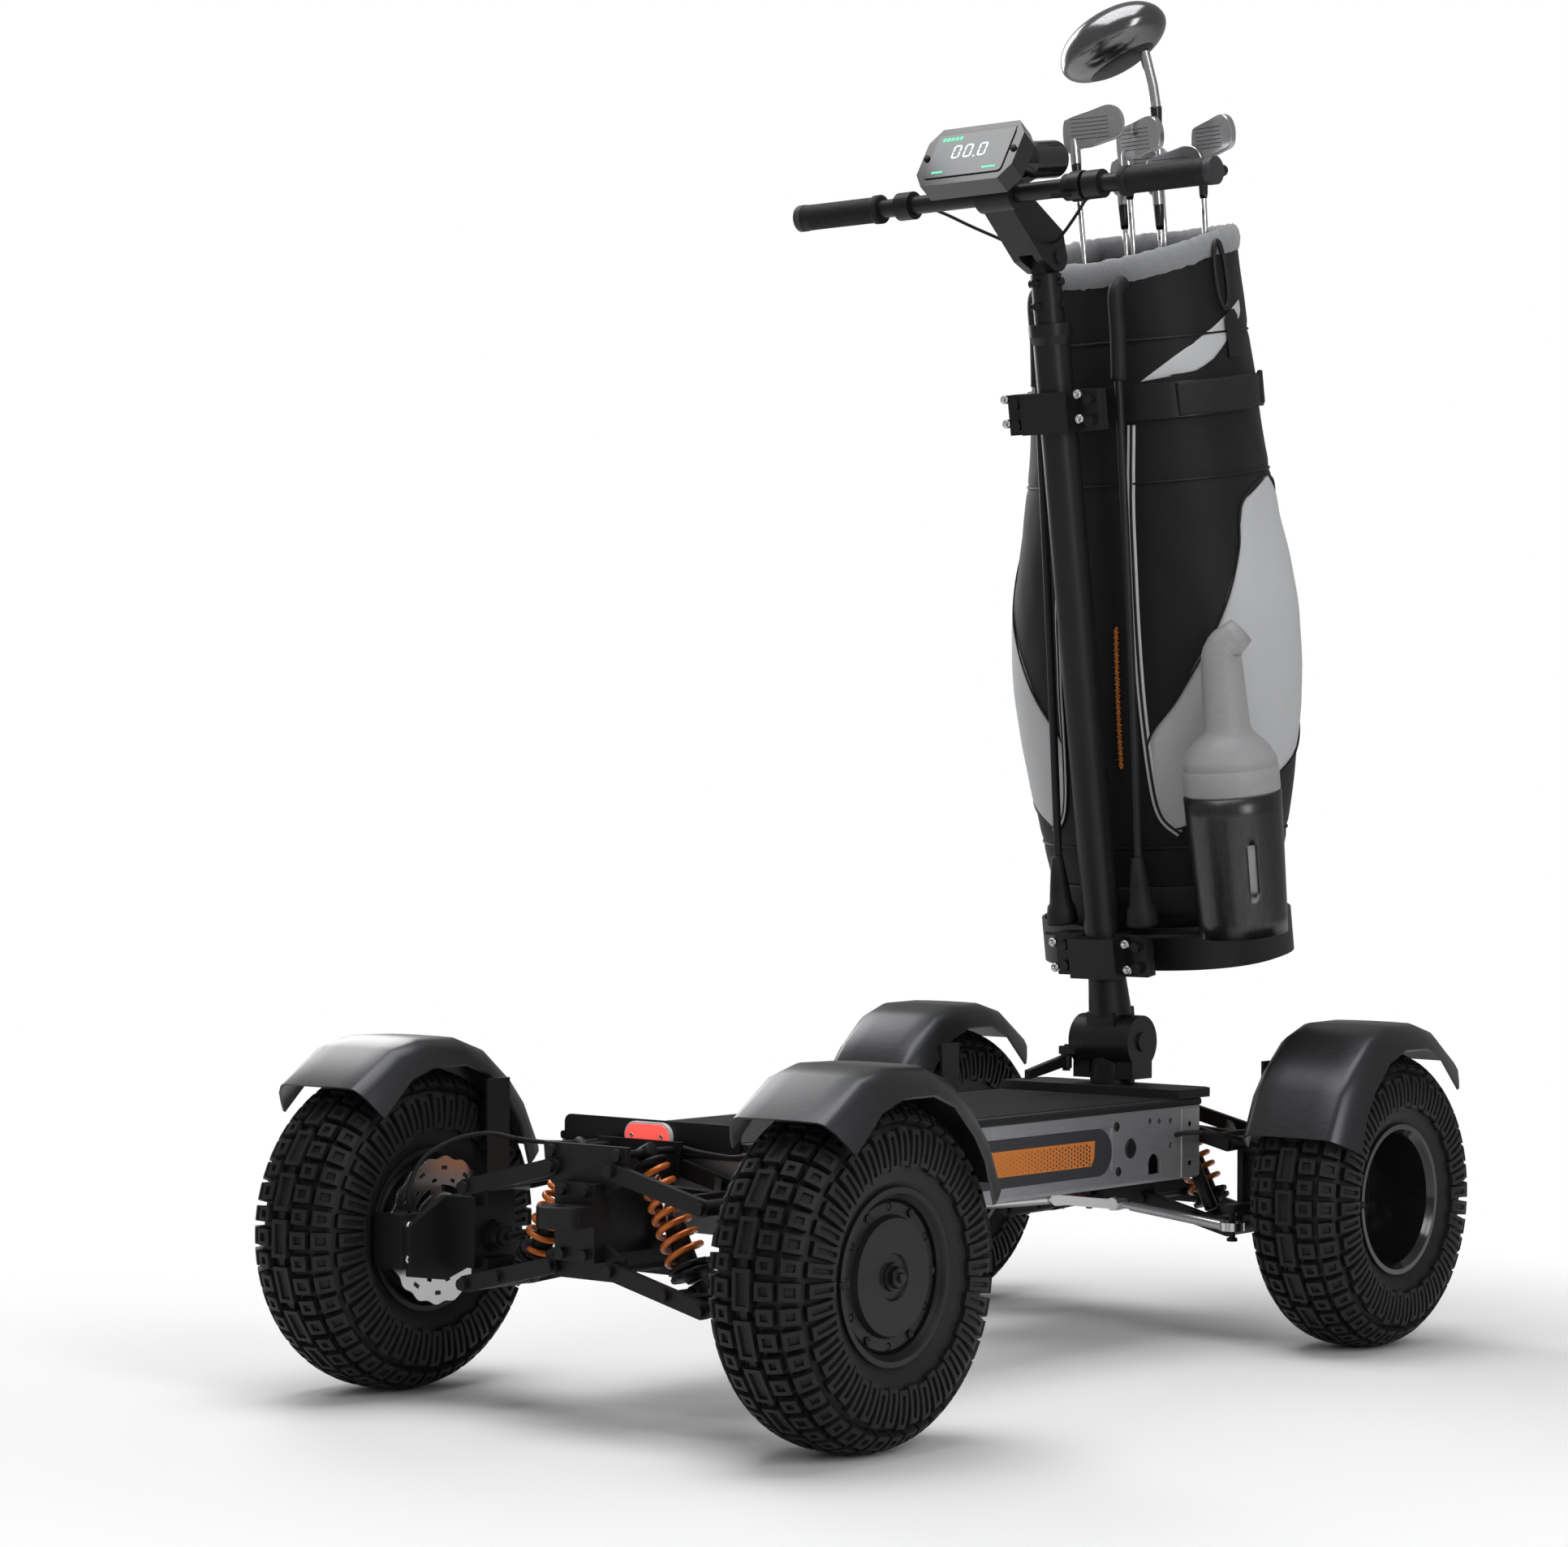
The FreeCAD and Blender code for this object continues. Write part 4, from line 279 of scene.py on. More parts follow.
def fadeFloor(tree, shader):
    # away from the object the floor turns into the white backdrop
    place = tree.nodes.new("ShaderNodeTexCoord")
    far = tree.nodes.new("ShaderNodeVectorMath")
    far.operation = "LENGTH"
    tree.links.new(place.outputs["Object"], far.inputs[0])
    fade = tree.nodes.new("ShaderNodeMapRange")
    fade.interpolation_type = "SMOOTHSTEP"
    fade.inputs["From Min"].default_value = 0.85
    fade.inputs["From Max"].default_value = 1.5
    tree.links.new(far.outputs["Value"], fade.inputs["Value"])
    white = inkOf(tree, "ShaderNodeEmission", Color=(1, 1, 1, 1), Strength=1.0)
    rays = tree.nodes.new("ShaderNodeLightPath")
    both = tree.nodes.new("ShaderNodeMath")
    both.operation = "MULTIPLY"
    tree.links.new(fade.outputs["Result"], both.inputs[0])
    tree.links.new(rays.outputs["Is Camera Ray"], both.inputs[1])
    mix = tree.nodes.new("ShaderNodeMixShader")
    tree.links.new(both.outputs[0], mix.inputs[0])
    tree.links.new(shader.outputs[0], mix.inputs[1])
    tree.links.new(white.outputs[0], mix.inputs[2])
    tree.links.new(mix.outputs[0], tree.nodes["Material Output"].inputs["Surface"])


def setRoom():
    world = bpy.data.worlds.new("studio")
    bpy.context.scene.world = world
    world.use_nodes = True
    tree = world.node_tree
    back = tree.nodes["Background"]
    back.inputs["Color"].default_value = (1, 1, 1, 1)
    rays = tree.nodes.new("ShaderNodeLightPath")
    seen = inkOf(tree, "ShaderNodeMath")
    seen.operation = "MAXIMUM"
    level = tree.nodes.new("ShaderNodeMapRange")
    level.inputs["To Min"].default_value = 0.3
    level.inputs["To Max"].default_value = 1.0
    tree.links.new(rays.outputs["Is Camera Ray"], seen.inputs[0])
    tree.links.new(rays.outputs["Is Transmission Ray"], seen.inputs[1])
    tree.links.new(seen.outputs[0], level.inputs["Value"])
    tree.links.new(level.outputs["Result"], back.inputs["Strength"])
    areaLamp("overhead", (0.3, 0.2, 3.6), (2.4, 2.4), 74)
    areaLamp("rearSide", (-3.2, 1.2, 2.0), (1.0, 2.6), 44)
    areaLamp("farSide", (3.0, -1.4, 2.2), (1.4, 2.4), 46)
    floorMaterial = bpy.data.materials.new("paleFloor")
    floorMaterial.use_nodes = True
    floorTree = floorMaterial.node_tree
    shader = floorTree.nodes["Principled BSDF"]
    shader.inputs["Base Color"].default_value = (0.93, 0.93, 0.93, 1)
    shader.inputs["Roughness"].default_value = 0.9
    fadeFloor(floorTree, shader)
    mesh = bpy.data.meshes.new("floor")
    reach = 9.0
    mesh.from_pydata([(-reach, -reach, 0), (reach, -reach, 0), (reach, reach, 0), (-reach, reach, 0)], [],
                     [(0, 1, 2, 3)])
    floor = bpy.data.objects.new("floor", mesh)
    bpy.context.scene.collection.objects.link(floor)
    mesh.materials.append(floorMaterial)


setCamera()
setRoom()
bpy.context.scene.view_settings.view_transform = "Standard"
print("camera, lamps and floor ready")

def spunShape(profile, steps=48):
    # profile: (distance along Z, radius) from one end to the other, closed by flat caps
    verts, faces = [], []
    for z, radius in profile:
        for n in range(steps):
            turn = 2 * math.pi * n / steps
            verts.append(Vector((radius * math.cos(turn), radius * math.sin(turn), z)))
    for ring in range(len(profile) - 1):
        for n in range(steps):
            a, b = ring * steps + n, ring * steps + (n + 1) % steps
            faces.append((a, b, b + steps, a + steps))
    faces.append(tuple(range(steps)))
    faces.append(tuple(range((len(profile) - 1) * steps, len(profile) * steps)))
    return verts, faces


def pipeShape(path, radius, steps=12, closed=False):
    # round pipe along points that are already close together
    path = [Vector(p) for p in path]
    count = len(path)
    verts, faces = [], []
    side = None
    for n, point in enumerate(path):
        ahead = path[(n + 1) % count] if closed or n < count - 1 else point
        behind = path[n - 1] if closed or n else point
        along = (ahead - behind).normalized()
        if side is None:
            side = along.orthogonal().normalized()
        side = (side - along * side.dot(along)).normalized()
        other = along.cross(side)
        size = radius(n / (count - 1)) if callable(radius) else radius
        for k in range(steps):
            turn = 2 * math.pi * k / steps
            verts.append(point + (side * math.cos(turn) + other * math.sin(turn)) * size)
    for n in range(count if closed else count - 1):
        for k in range(steps):
            a, b = n * steps + k, n * steps + (k + 1) % steps
            c = ((n + 1) % count) * steps
            faces.append((a, b, c + (k + 1) % steps, c + k))
    if not closed:
        faces.append(tuple(range(steps)))
        faces.append(tuple(range((count - 1) * steps, count * steps)))
    return verts, faces


def curvePoints(points, fine=10, closed=False):
    # smooth line through given points
    points = [Vector(p) for p in points]
    count = len(points)
    line = []
    for n in range(count if closed else count - 1):
        if closed:
            a, b, c, d = (points[(n + k) % count] for k in (-1, 0, 1, 2))
        else:
            a, b, c, d = (points[min(max(n + k, 0), count - 1)] for k in (-1, 0, 1, 2))
        for k in range(fine):
            t = k / fine
            line.append(0.5 * ((2 * b) + (c - a) * t + (2 * a - 5 * b + 4 * c - d) * t ** 2
                               + (3 * b - a - 3 * c + d) * t ** 3))
    if not closed:
        line.append(points[-1])
    return line


def blockShape(low, high, bevel=0.0):
    made = bmesh.new()
    bmesh.ops.create_cube(made, size=1.0)
    low, high = Vector(low), Vector(high)
    for vert in made.verts:
        vert.co = Vector([(low[k] + high[k]) / 2 + vert.co[k] * (high[k] - low[k]) for k in range(3)])
    if bevel:
        bmesh.ops.bevel(made, geom=made.edges[:], offset=bevel, segments=3, profile=0.5, affect="EDGES")
    made.verts.index_update()
    shape = [v.co.copy() for v in made.verts], [tuple(v.index for v in f.verts) for f in made.faces]
    made.free()
    return shape


def slabShape(outline, low, high, bevel=0.0):
    # outline in X and Y, raised from low to high along Z
    made = bmesh.new()
    face = made.faces.new([made.verts.new((x, y, low)) for x, y in outline])
    raised = bmesh.ops.extrude_face_region(made, geom=[face])["geom"]
    bmesh.ops.translate(made, vec=(0, 0, high - low),
                        verts=[g for g in raised if isinstance(g, bmesh.types.BMVert)])
    if bevel:
        flat = [e for e in made.edges if abs(e.verts[0].co.z - e.verts[1].co.z) < 1e-7]
        bmesh.ops.bevel(made, geom=flat, offset=bevel, segments=3, profile=0.5, affect="EDGES")
    made.verts.index_update()
    shape = [v.co.copy() for v in made.verts], [tuple(v.index for v in f.verts) for f in made.faces]
    made.free()
    return shape


def joined(*shapes):
    verts, faces = [], []
    for shapeVerts, shapeFaces in shapes:
        base = len(verts)
        verts.extend(shapeVerts)
        faces.extend(tuple(base + n for n in face) for face in shapeFaces)
    return verts, faces


def moved(shape, matrix):
    return [matrix @ Vector(v) for v in shape[0]], shape[1]


def between(start, end):
    # frame with its origin at start and its Z along the way to end
    way = Vector(end) - Vector(start)
    return Matrix.Translation(start) @ way.to_track_quat("Z", "Y").to_matrix().to_4x4()


def screwShape(radius=0.005, height=0.005):
    # cap screw with a hexagonal socket, head upwards from the origin
    verts, faces = spunShape([(0, radius), (height * 0.8, radius), (height, radius * 0.86)], 24)
    faces.pop()
    top = [n for n in range(48, 72)]
    base = len(verts)
    for depth in (height, height * 0.4):
        for n in range(24):
            turn = 2 * math.pi * n / 24
            flat = math.cos((turn + math.pi / 6) % (math.pi / 3) - math.pi / 6)
            verts.append(Vector((radius * 0.48 * math.cos(turn) / flat, radius * 0.48 * math.sin(turn) / flat,
                                 depth)))
    for n in range(24):
        m = (n + 1) % 24
        faces.append((top[n], top[m], base + m, base + n))
        faces.append((base + n, base + m, base + 24 + m, base + 24 + n))
    faces.append(tuple(range(base + 24, base + 48)))
    return verts, faces


def jointPlace(name):
    return Vector(joints[name]["pos_m"])


# tyres

tread = {
    "rows": 44, "knobHeight": 0.0104, "lugHeight": 0.0058, "draft": 0.0014, "rim": 0.0042, "recess": 0.0034,
    "sink": 0.003,
    "profile": [(0, 0.1694), (0.013, 0.1692), (0.026, 0.1674), (0.037, 0.1634), (0.0455, 0.1570),
                (0.0518, 0.1485),
                (0.0558, 0.1395), (0.0578, 0.1285), (0.0585, 0.1160), (0.0560, 0.1035), (0.0515, 0.0945)],
    "bead": [(0.0500, 0.0912), (0.0480, 0.0815), (0.0400, 0.0812)],
}


def treadLine():
    smooth = curvePoints([(x, 0, r) for x, r in tread["profile"]], 12)
    run = [0.0]
    for a, b in zip(smooth, smooth[1:]):
        run.append(run[-1] + (b - a).length)
    return smooth, run


def onTread(line, run, distance):
    # place and outward direction on the casing, a distance sideways from the middle
    far = min(abs(distance), run[-1] - 1e-6)
    n = max(k for k in range(len(run) - 1) if run[k] <= far)
    share = (far - run[n]) / (run[n + 1] - run[n])
    point = line[n].lerp(line[n + 1], share)
    along = (line[n + 1] - line[n]).normalized()
    side = -1 if distance < 0 else 1
    return Vector((side * point.x, 0, point.z)), Vector((side * along.z * -1, 0, along.x))


def knobShape(line, run, angle, start, end, half, height, recessed=True, endHeight=None, stepsAlong=1):
    draft, rim, recess, sink = tread["draft"], tread["rim"], tread["recess"], tread["sink"]
    endHeight = height if endHeight is None else endHeight
    across = [-half - draft, -half, -half + rim, -half + rim + 0.0005, half - rim - 0.0005, half - rim, half,
              half + draft]
    if half <= rim + 0.001:
        recessed = False
    inner = [start + rim + 0.0005 + (end - start - 2 * rim - 0.001) * k / stepsAlong
             for k in range(stepsAlong + 1)]
    lengths = [start - draft, start, start + rim] + inner + [end - rim, end, end + draft]
    if not recessed:
        across = [-half - draft, -half, half, half + draft]
        lengths = [start - draft, start, (start + end) / 2, end, end + draft]
    verts, faces = [], []
    rows, columns = len(lengths), len(across)
    for j, length in enumerate(lengths):
        point, out = onTread(line, run, length)
        share = (length - start) / (end - start)
        tall = height + (endHeight - height) * min(max(share, 0), 1)
        for i, offset in enumerate(across):
            rise = tall
            if i in (0, columns - 1) or j in (0, rows - 1):
                rise = -sink
            elif recessed and 3 <= i <= columns - 4 and 3 <= j <= rows - 4:
                rise = tall - recess
            place = point + out * rise
            turn = angle + offset / point.z
            verts.append(Vector((place.x, place.z * math.sin(turn), place.z * math.cos(turn))))
    for j in range(rows - 1):
        for i in range(columns - 1):
            a = j * columns + i
            faces.append((a, a + 1, a + columns + 1, a + columns))
    edge = list(range(columns)) + [columns * (k + 1) - 1 for k in range(1, rows)]
    edge += list(range(columns * rows - 2, columns * (rows - 1) - 1,
                       -1)) + [columns * k for k in range(rows - 2, 0, -1)]
    faces.append(tuple(edge))
    return verts, faces


def tyreShape():
    line, run = treadLine()
    half = [(p.x, p.z) for p in line] + tread["bead"]
    ring = [(x, r) for x, r in reversed(half)] + [(-x, r) for x, r in half[1:]]
    verts, faces = spunShape(ring, 144)
    faces = faces[:-2]
    last = (len(ring) - 1) * 144
    for n in range(144):
        m = (n + 1) % 144
        faces.append((n, m, last + m, last + n))
    turnAxis = Matrix(((0, 0, 1, 0), (0, 1, 0, 0), (-1, 0, 0, 0), (0, 0, 0, 1)))
    shapes = [moved((verts, faces), turnAxis)]
    pitch = 2 * math.pi / tread["rows"]
    tall = tread["knobHeight"]
    for row in range(tread["rows"]):
        angle = row * pitch
        if row % 2:
            shapes.append(knobShape(line, run, angle, -0.0105, 0.0105, 0.0195, tall))
        else:
            shapes.append(knobShape(line, run, angle, -0.0042, 0.0042, 0.0042, tall * 0.6, False))
        wide = 0.0086 if row % 2 else 0.0078
        for side in (-1, 1):
            for centre, reach in ((0.0245, wide), (0.0465, wide)):
                low, high = sorted((side * (centre - reach), side * (centre + reach)))
                shapes.append(knobShape(line, run, angle, low, high, wide, tall))
            first, last = (0.0635, 0.0985) if row % 2 else (0.0610, 0.0960)
            shapes.append(lugShape(line, run, angle, side, first, last))
    return joined(*shapes)


def lugShape(line, run, angle, side, first, last):
    low, high = (first, last) if side > 0 else (-last, -first)
    heights = (tread["knobHeight"] * 0.8, tread["lugHeight"])
    near, far = heights if side > 0 else heights[::-1]
    return knobShape(line, run, angle, low, high, 0.0068, near, True, far, 6)


# faces of the tyre that are shaded smooth; the later ones stay flat
smoothFaces = 144 * 200
tyreMesh = None
for corner, end, side in corners:
    centre = jointPlace(corner + "roll")
    if tyreMesh is None:
        verts, faces = tyreShape()
        piece = newPiece(corner + "knobbyTyre", verts, faces, "tyreRubber", None, "tyre_rubber", smooth=False)
        piece.data.polygons.foreach_set("use_smooth",
                                        [n < smoothFaces for n in range(len(piece.data.polygons))])
        tyreMesh = piece.data
    else:
        piece = bpy.data.objects.new(corner + "knobbyTyre", tyreMesh)
        bpy.context.scene.collection.objects.link(piece)
    piece.location = centre
    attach(piece, corner + "rolling")
    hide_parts(corner + "tyre")
print("tyres made")


# springs

coil = {
    "topX": 0.046, "topZ": 0.284, "bottomX": 0.118, "turns": 7.0, "wire": 0.0034,
    "topRadius": 0.0152, "bottomRadius": 0.0205, "eye": 0.0085, "bottomDrop": 0.0184,
}


def springShapes(top, bottom):
    length = (bottom - top).length
    frameOf = between(top, bottom)
    start, stop = 0.018, length - 0.032
    steps = 200
    path = []
    for n in range(steps + 1):
        share = n / steps
        level = start + (stop - start) * (share + 0.012 * math.sin(2 * math.pi * share))
        radius = coil["topRadius"] + (coil["bottomRadius"] - coil["topRadius"]) * share
        turn = 2 * math.pi * coil["turns"] * share
        path.append((radius * math.cos(turn), radius * math.sin(turn), level))
    wire = pipeShape(path, coil["wire"], 12)
    body = spunShape([(length * 0.5, 0.008), (length * 0.5 + 0.002, 0.0112), (length - 0.016, 0.0112),
                      (length - 0.01, 0.008)], 36)
    collars = []
    for level in (stop + 0.002, stop + 0.010):
        ring = spunShape([(level, 0.019), (level + 0.0012, 0.0235), (level + 0.0052, 0.0235),
                          (level + 0.0064, 0.019)], 60)
        for n, vert in enumerate(ring[0]):
            if vert.xy.length > 0.022 and (n % 60) % 4 < 2:
                vert.xy *= 0.945
        collars.append(ring)
    cup = spunShape([(start - 0.009, 0.010), (start - 0.008, 0.0175), (start - 0.004, 0.0180),
                     (start - 0.003, 0.010)], 36)
    rod = spunShape([(0.004, 0.0052), (length * 0.52, 0.0052)], 24)
    eyes = []
    for level in (0, length):
        eye = spunShape([(-0.009, 0.0072), (-0.0082, coil["eye"]), (0.0082, coil["eye"]), (0.009, 0.0072)],
                        30)
        eyes.append(moved(eye, Matrix.Translation((0, 0, level)) @ Matrix.Rotation(math.pi / 2, 4, "X")))
    dark = joined(body, cup, *collars, *eyes)
    return [moved(shape, frameOf) for shape in (wire, dark, rod)]


for corner, end, side in corners:
    pivot = jointPlace(corner + "lower_pivot")
    sign = 1 if side == "left" else -1
    top = Vector((sign * coil["topX"], pivot.y, coil["topZ"]))
    bottom = Vector((sign * coil["bottomX"], pivot.y, pivot.z - coil["bottomDrop"]))
    for part, finish, shape in zip(("coil", "damper", "rod"), ("orange", "castBlack", "chrome"),
                                   springShapes(top, bottom)):
        piece = newPiece(corner + part, *shape, finish, None,
                         "spring_orange" if part == "coil" else "dark_metal")
        if part == "coil":
            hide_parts(corner + "shock")
        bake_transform(piece)
    if end == "front":
        away = 0.034
        upper = Vector((sign * 0.072, pivot.y + away, 0.274))
        lower = Vector((sign * 0.132, pivot.y + away, pivot.z - 0.010))
        reach = (lower - upper).length
        strut = moved(spunShape([(0, 0.003), (0.001, 0.0052), (reach * 0.52, 0.0052),
                                 (reach * 0.52 + 0.001, 0.0085),
                                 (reach - 0.002, 0.0085), (reach, 0.006)], 30), between(upper, lower))
        piece = newPiece(corner + "strut", *strut, "satinBlack", None, "dark_metal")
        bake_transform(piece)
print("springs made")


# fenders

guard = {
    "angles": [37.5, 13, -16, -43, -64.5], "radii": [0.2035, 0.2165, 0.2175, 0.2020, 0.1905],
    "half": 0.055, "skirt": 0.079, "thick": 0.0024,
    "drops": [0.041, 0.030, 0.028, 0.033, 0.042],
    "bend": 0.22,
}


def fenderSections():
    marks = [(radius * math.sin(math.radians(angle)), radius * math.cos(math.radians(angle)), drop)
             for angle, radius, drop in zip(guard["angles"], guard["radii"], guard["drops"])]
    marks = [Vector(mark) for mark in marks]
    rows = [marks[0]]
    for before, here, after in zip(marks, marks[1:], marks[2:]):
        rows.extend([here.lerp(before, guard["bend"]), here.lerp(after, guard["bend"])])
    rows.append(marks[-1])
    return [(math.atan2(y, z), math.hypot(y, z), drop) for y, z, drop in rows]


def fenderShape():
    half, skirt, thick = guard["half"], guard["skirt"], guard["thick"]
    verts, faces = [], []
    for turn, radius, drop in fenderSections():
        outline = []
        for sign in (-1, 1):
            side = [(skirt, radius - drop), (skirt - 0.004, radius - drop * 0.72),
                    ((skirt + half) / 2 + 0.001, radius - drop * 0.34),
                    (half + 0.004, radius - drop * 0.09), (half, radius - 0.0012), (half - 0.005, radius),
                    (half * 0.5, radius + 0.0006)]
            side = [(sign * x, r) for x, r in side]
            outline.extend(side if sign < 0 else side[::-1])
        outline.insert(7, (0, radius + 0.0008))
        inside = [(x * (1 - thick / skirt), r - thick) for x, r in outline[::-1]]
        for x, r in outline + inside:
            verts.append(Vector((x, r * math.sin(turn), r * math.cos(turn))))
    count = 2 * 15
    rows = len(verts) // count
    for row in range(rows - 1):
        for n in range(count):
            a, b = row * count + n, row * count + (n + 1) % count
            faces.append((a, b, b + count, a + count))
    for row in (0, rows - 1):
        for n in range(14):
            a = row * count
            faces.append((a + n, a + n + 1, a + count - 2 - n, a + count - 1 - n))
    return verts, faces


fenderMesh = {}
for corner, end, side in corners:
    centre = jointPlace(corner + "roll")
    facing = 1 if end == "rear" else -1
    if facing not in fenderMesh:
        shape = fenderShape()
        shape = [Vector((v.x, facing * v.y, v.z)) for v in shape[0]], shape[1]
        piece = newPiece(corner + "mudguard", *shape, "fenderMetal", None, "dark_metal")
        piece.data.set_sharp_from_angle(angle=math.radians(26))
        fenderMesh[facing] = piece.data
    else:
        piece = bpy.data.objects.new(corner + "mudguard", fenderMesh[facing])
        bpy.context.scene.collection.objects.link(piece)
    piece.location = centre
    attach(piece, corner + ("carrier" if end == "rear" else "swivel"))
    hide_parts(corner + "fender")
print("fenders made")


# golf bag

leanAxis = Vector(joints["stem_height"]["axis"])
column = (Matrix.Translation(jointPlace("fold"))
          @ Vector((0, 0, 1)).rotation_difference(leanAxis).to_matrix().to_4x4())

bagLook = {
    "heights": [0, 0.08, 0.165, 0.25, 0.335, 0.42, 0.48, 0.54, 0.64, 0.76, 0.9],
    "halfX": [0.124, 0.142, 0.162, 0.178, 0.186, 0.186, 0.177, 0.164, 0.148, 0.134, 0.120],
    "halfY": [0.104, 0.112, 0.1205, 0.126, 0.131, 0.132, 0.130, 0.126, 0.121, 0.118, 0.116],
    "squareness": 2.5, "floor": 0.0893, "middle": 0.146, "tilt": math.tan(math.radians(3.8)), "wall": 0.007,
    "rimRear": 0.868, "rimFront": 0.900, "seams": [0.060, 0.148, 0.600, 0.775], "softness": 0.0022,
}


def curveAt(values, height):
    keys = bagLook["heights"]
    height = min(max(height, keys[0]), keys[-1])
    n = max(k for k in range(len(keys) - 1) if keys[k] <= height + 1e-9)
    t = (height - keys[n]) / (keys[n + 1] - keys[n])
    before, after = values[max(n - 1, 0)], values[min(n + 2, len(keys) - 1)]
    a, b = values[n], values[n + 1]
    return 0.5 * (2 * a + (b - before) * t + (2 * before - 5 * a + 4 * b - after) * t * t
                  + (3 * a - before - 3 * b + after) * t ** 3)


def bagPoint(angle, height, out=0.0):
    # angle in degrees: 0 left, 90 rear, 180 right; height up the bag from its floor
    halfX = curveAt(bagLook["halfX"], height)
    halfY = curveAt(bagLook["halfY"], height)
    turn = math.radians(angle)
    power = bagLook["squareness"]
    reach = (abs(math.cos(turn) / halfX) ** power
             + abs(math.sin(turn) / halfY) ** power) ** (-1 / power) + out
    middle = -bagLook["middle"] - height * bagLook["tilt"]
    return column @ Vector((reach * math.cos(turn), middle + reach * math.sin(turn),
                            bagLook["floor"] + height))


def rimHeight(angle):
    low, high = bagLook["rimRear"], bagLook["rimFront"]
    return ((low + high) / 2 - (high - low) / 2 * math.sin(math.radians(angle))
            + 0.010 * math.cos(math.radians(angle)) ** 2)


def bagSwell(angle, height):
    # cloth drawn in at the seams and a little full between them, with slow folds
    nearest = min(abs(height - s) for s in bagLook["seams"])
    groove = -0.0018 * math.exp(-(nearest / 0.006) ** 2)
    spot = Vector((math.cos(math.radians(angle)) * 2.1, math.sin(math.radians(angle)) * 2.1, height * 7))
    folds = noise.noise(spot) * 0.8 + noise.noise(spot * 2.7) * 0.4
    edge = min(1, max(0, (height - 0.01) / 0.05))
    return groove + bagLook["softness"] * folds * edge


def bagShape():
    steps, rows = 180, 150
    verts, faces = [], []
    for row in range(rows + 1):
        for n in range(steps):
            angle = 360 * n / steps
            height = rimHeight(angle) * row / rows
            verts.append(bagPoint(angle, height, bagSwell(angle, height)))
    for row in range(rows, -1, -1):
        for n in range(steps):
            angle = 360 * n / steps
            height = max(rimHeight(angle) * row / rows, 0.007)
            verts.append(bagPoint(angle, height, bagSwell(angle, height) - bagLook["wall"]))
    for row in range(2 * rows + 1):
        for n in range(steps):
            a, b = row * steps + n, row * steps + (n + 1) % steps
            faces.append((a, b, b + steps, a + steps))
    faces.append(tuple(range(steps)))
    faces.append(tuple(range((2 * rows + 1) * steps, (2 * rows + 2) * steps)))
    return verts, faces


def patchShape(outline, thick, rows=60, columns=24, lift=0.0, wavy=1.0):
    # sewn-on panel: outline of (angle, height in mm), thinning to its edge
    lows = min(h for a, h in outline)
    highs = max(h for a, h in outline)
    grid = []
    for row in range(rows + 1):
        height = lows + (highs - lows) * (0.5 - 0.5 * math.cos(math.pi * row / rows))
        level = min(max(height, lows + 0.05), highs - 0.05)
        cuts = []
        for (a0, h0), (a1, h1) in zip(outline, outline[1:] + outline[:1]):
            if (h0 - level) * (h1 - level) < 0:
                cuts.append(a0 + (a1 - a0) * (level - h0) / (h1 - h0))
        first, last = min(cuts), max(cuts)
        grid.append([(first + (last - first) * k / columns, height / 1000) for k in range(columns + 1)])
    verts, faces = [], []
    for face in (1, -1):
        for r, line in enumerate(grid):
            for c, (angle, height) in enumerate(line):
                rim = min(r, rows - r, c, columns - c)
                puff = thick * min(1, (0.25 + 0.75 * rim / 3)) if face > 0 else -0.003
                verts.append(bagPoint(angle, height, bagSwell(angle, height) * wavy + lift + puff))
    half = (rows + 1) * (columns + 1)
    wide = columns + 1
    for r in range(rows):
        for c in range(columns):
            a = r * wide + c
            faces.append((a, a + 1, a + wide + 1, a + wide))
            faces.append((half + a + wide, half + a + wide + 1, half + a + 1, half + a))
    for r in range(rows):
        for c in (0, columns):
            a = r * wide + c
            faces.append((a, a + wide, half + a + wide, half + a))
    for c in range(columns):
        for r in (0, rows):
            a = r * wide + c
            faces.append((a, a + 1, half + a + 1, half + a))
    return verts, faces


def bagLine(points, fine=12, out=0.001, closed=False):
    smooth = curvePoints([(a, h / 1000, 0) for a, h in points], fine, closed)
    return [bagPoint(p.x, p.y, bagSwell(p.x, p.y) + out) for p in smooth]


def strapShape(points, width, thick, out=0.001, fine=14):
    # flat webbing on the bag along points of (angle, height in mm)
    smooth = curvePoints([(a, h / 1000, 0) for a, h in points], fine)
    verts, faces = [], []
    for n, p in enumerate(smooth):
        ahead = bagPoint(smooth[min(n + 1, len(smooth) - 1)].x, smooth[min(n + 1, len(smooth) - 1)].y)
        behind = bagPoint(smooth[max(n - 1, 0)].x, smooth[max(n - 1, 0)].y)
        along = (ahead - behind).normalized()
        base = bagPoint(p.x, p.y, bagSwell(p.x, p.y) + out)
        outward = (bagPoint(p.x, p.y, 0.01) - bagPoint(p.x, p.y)).normalized()
        side = along.cross(outward).normalized()
        outward = side.cross(along)
        for s, o in ((-0.5, 0), (0.5, 0), (0.5, 0.7), (0.42, 1), (-0.42, 1), (-0.5, 0.7)):
            verts.append(base + side * width * s + outward * thick * o)
    for n in range(len(smooth) - 1):
        for k in range(6):
            a, b = n * 6 + k, n * 6 + (k + 1) % 6
            faces.append((a, b, b + 6, a + 6))
    faces.append(tuple(range(6)))
    faces.append(tuple(range(len(verts) - 6, len(verts))))
    return verts, faces


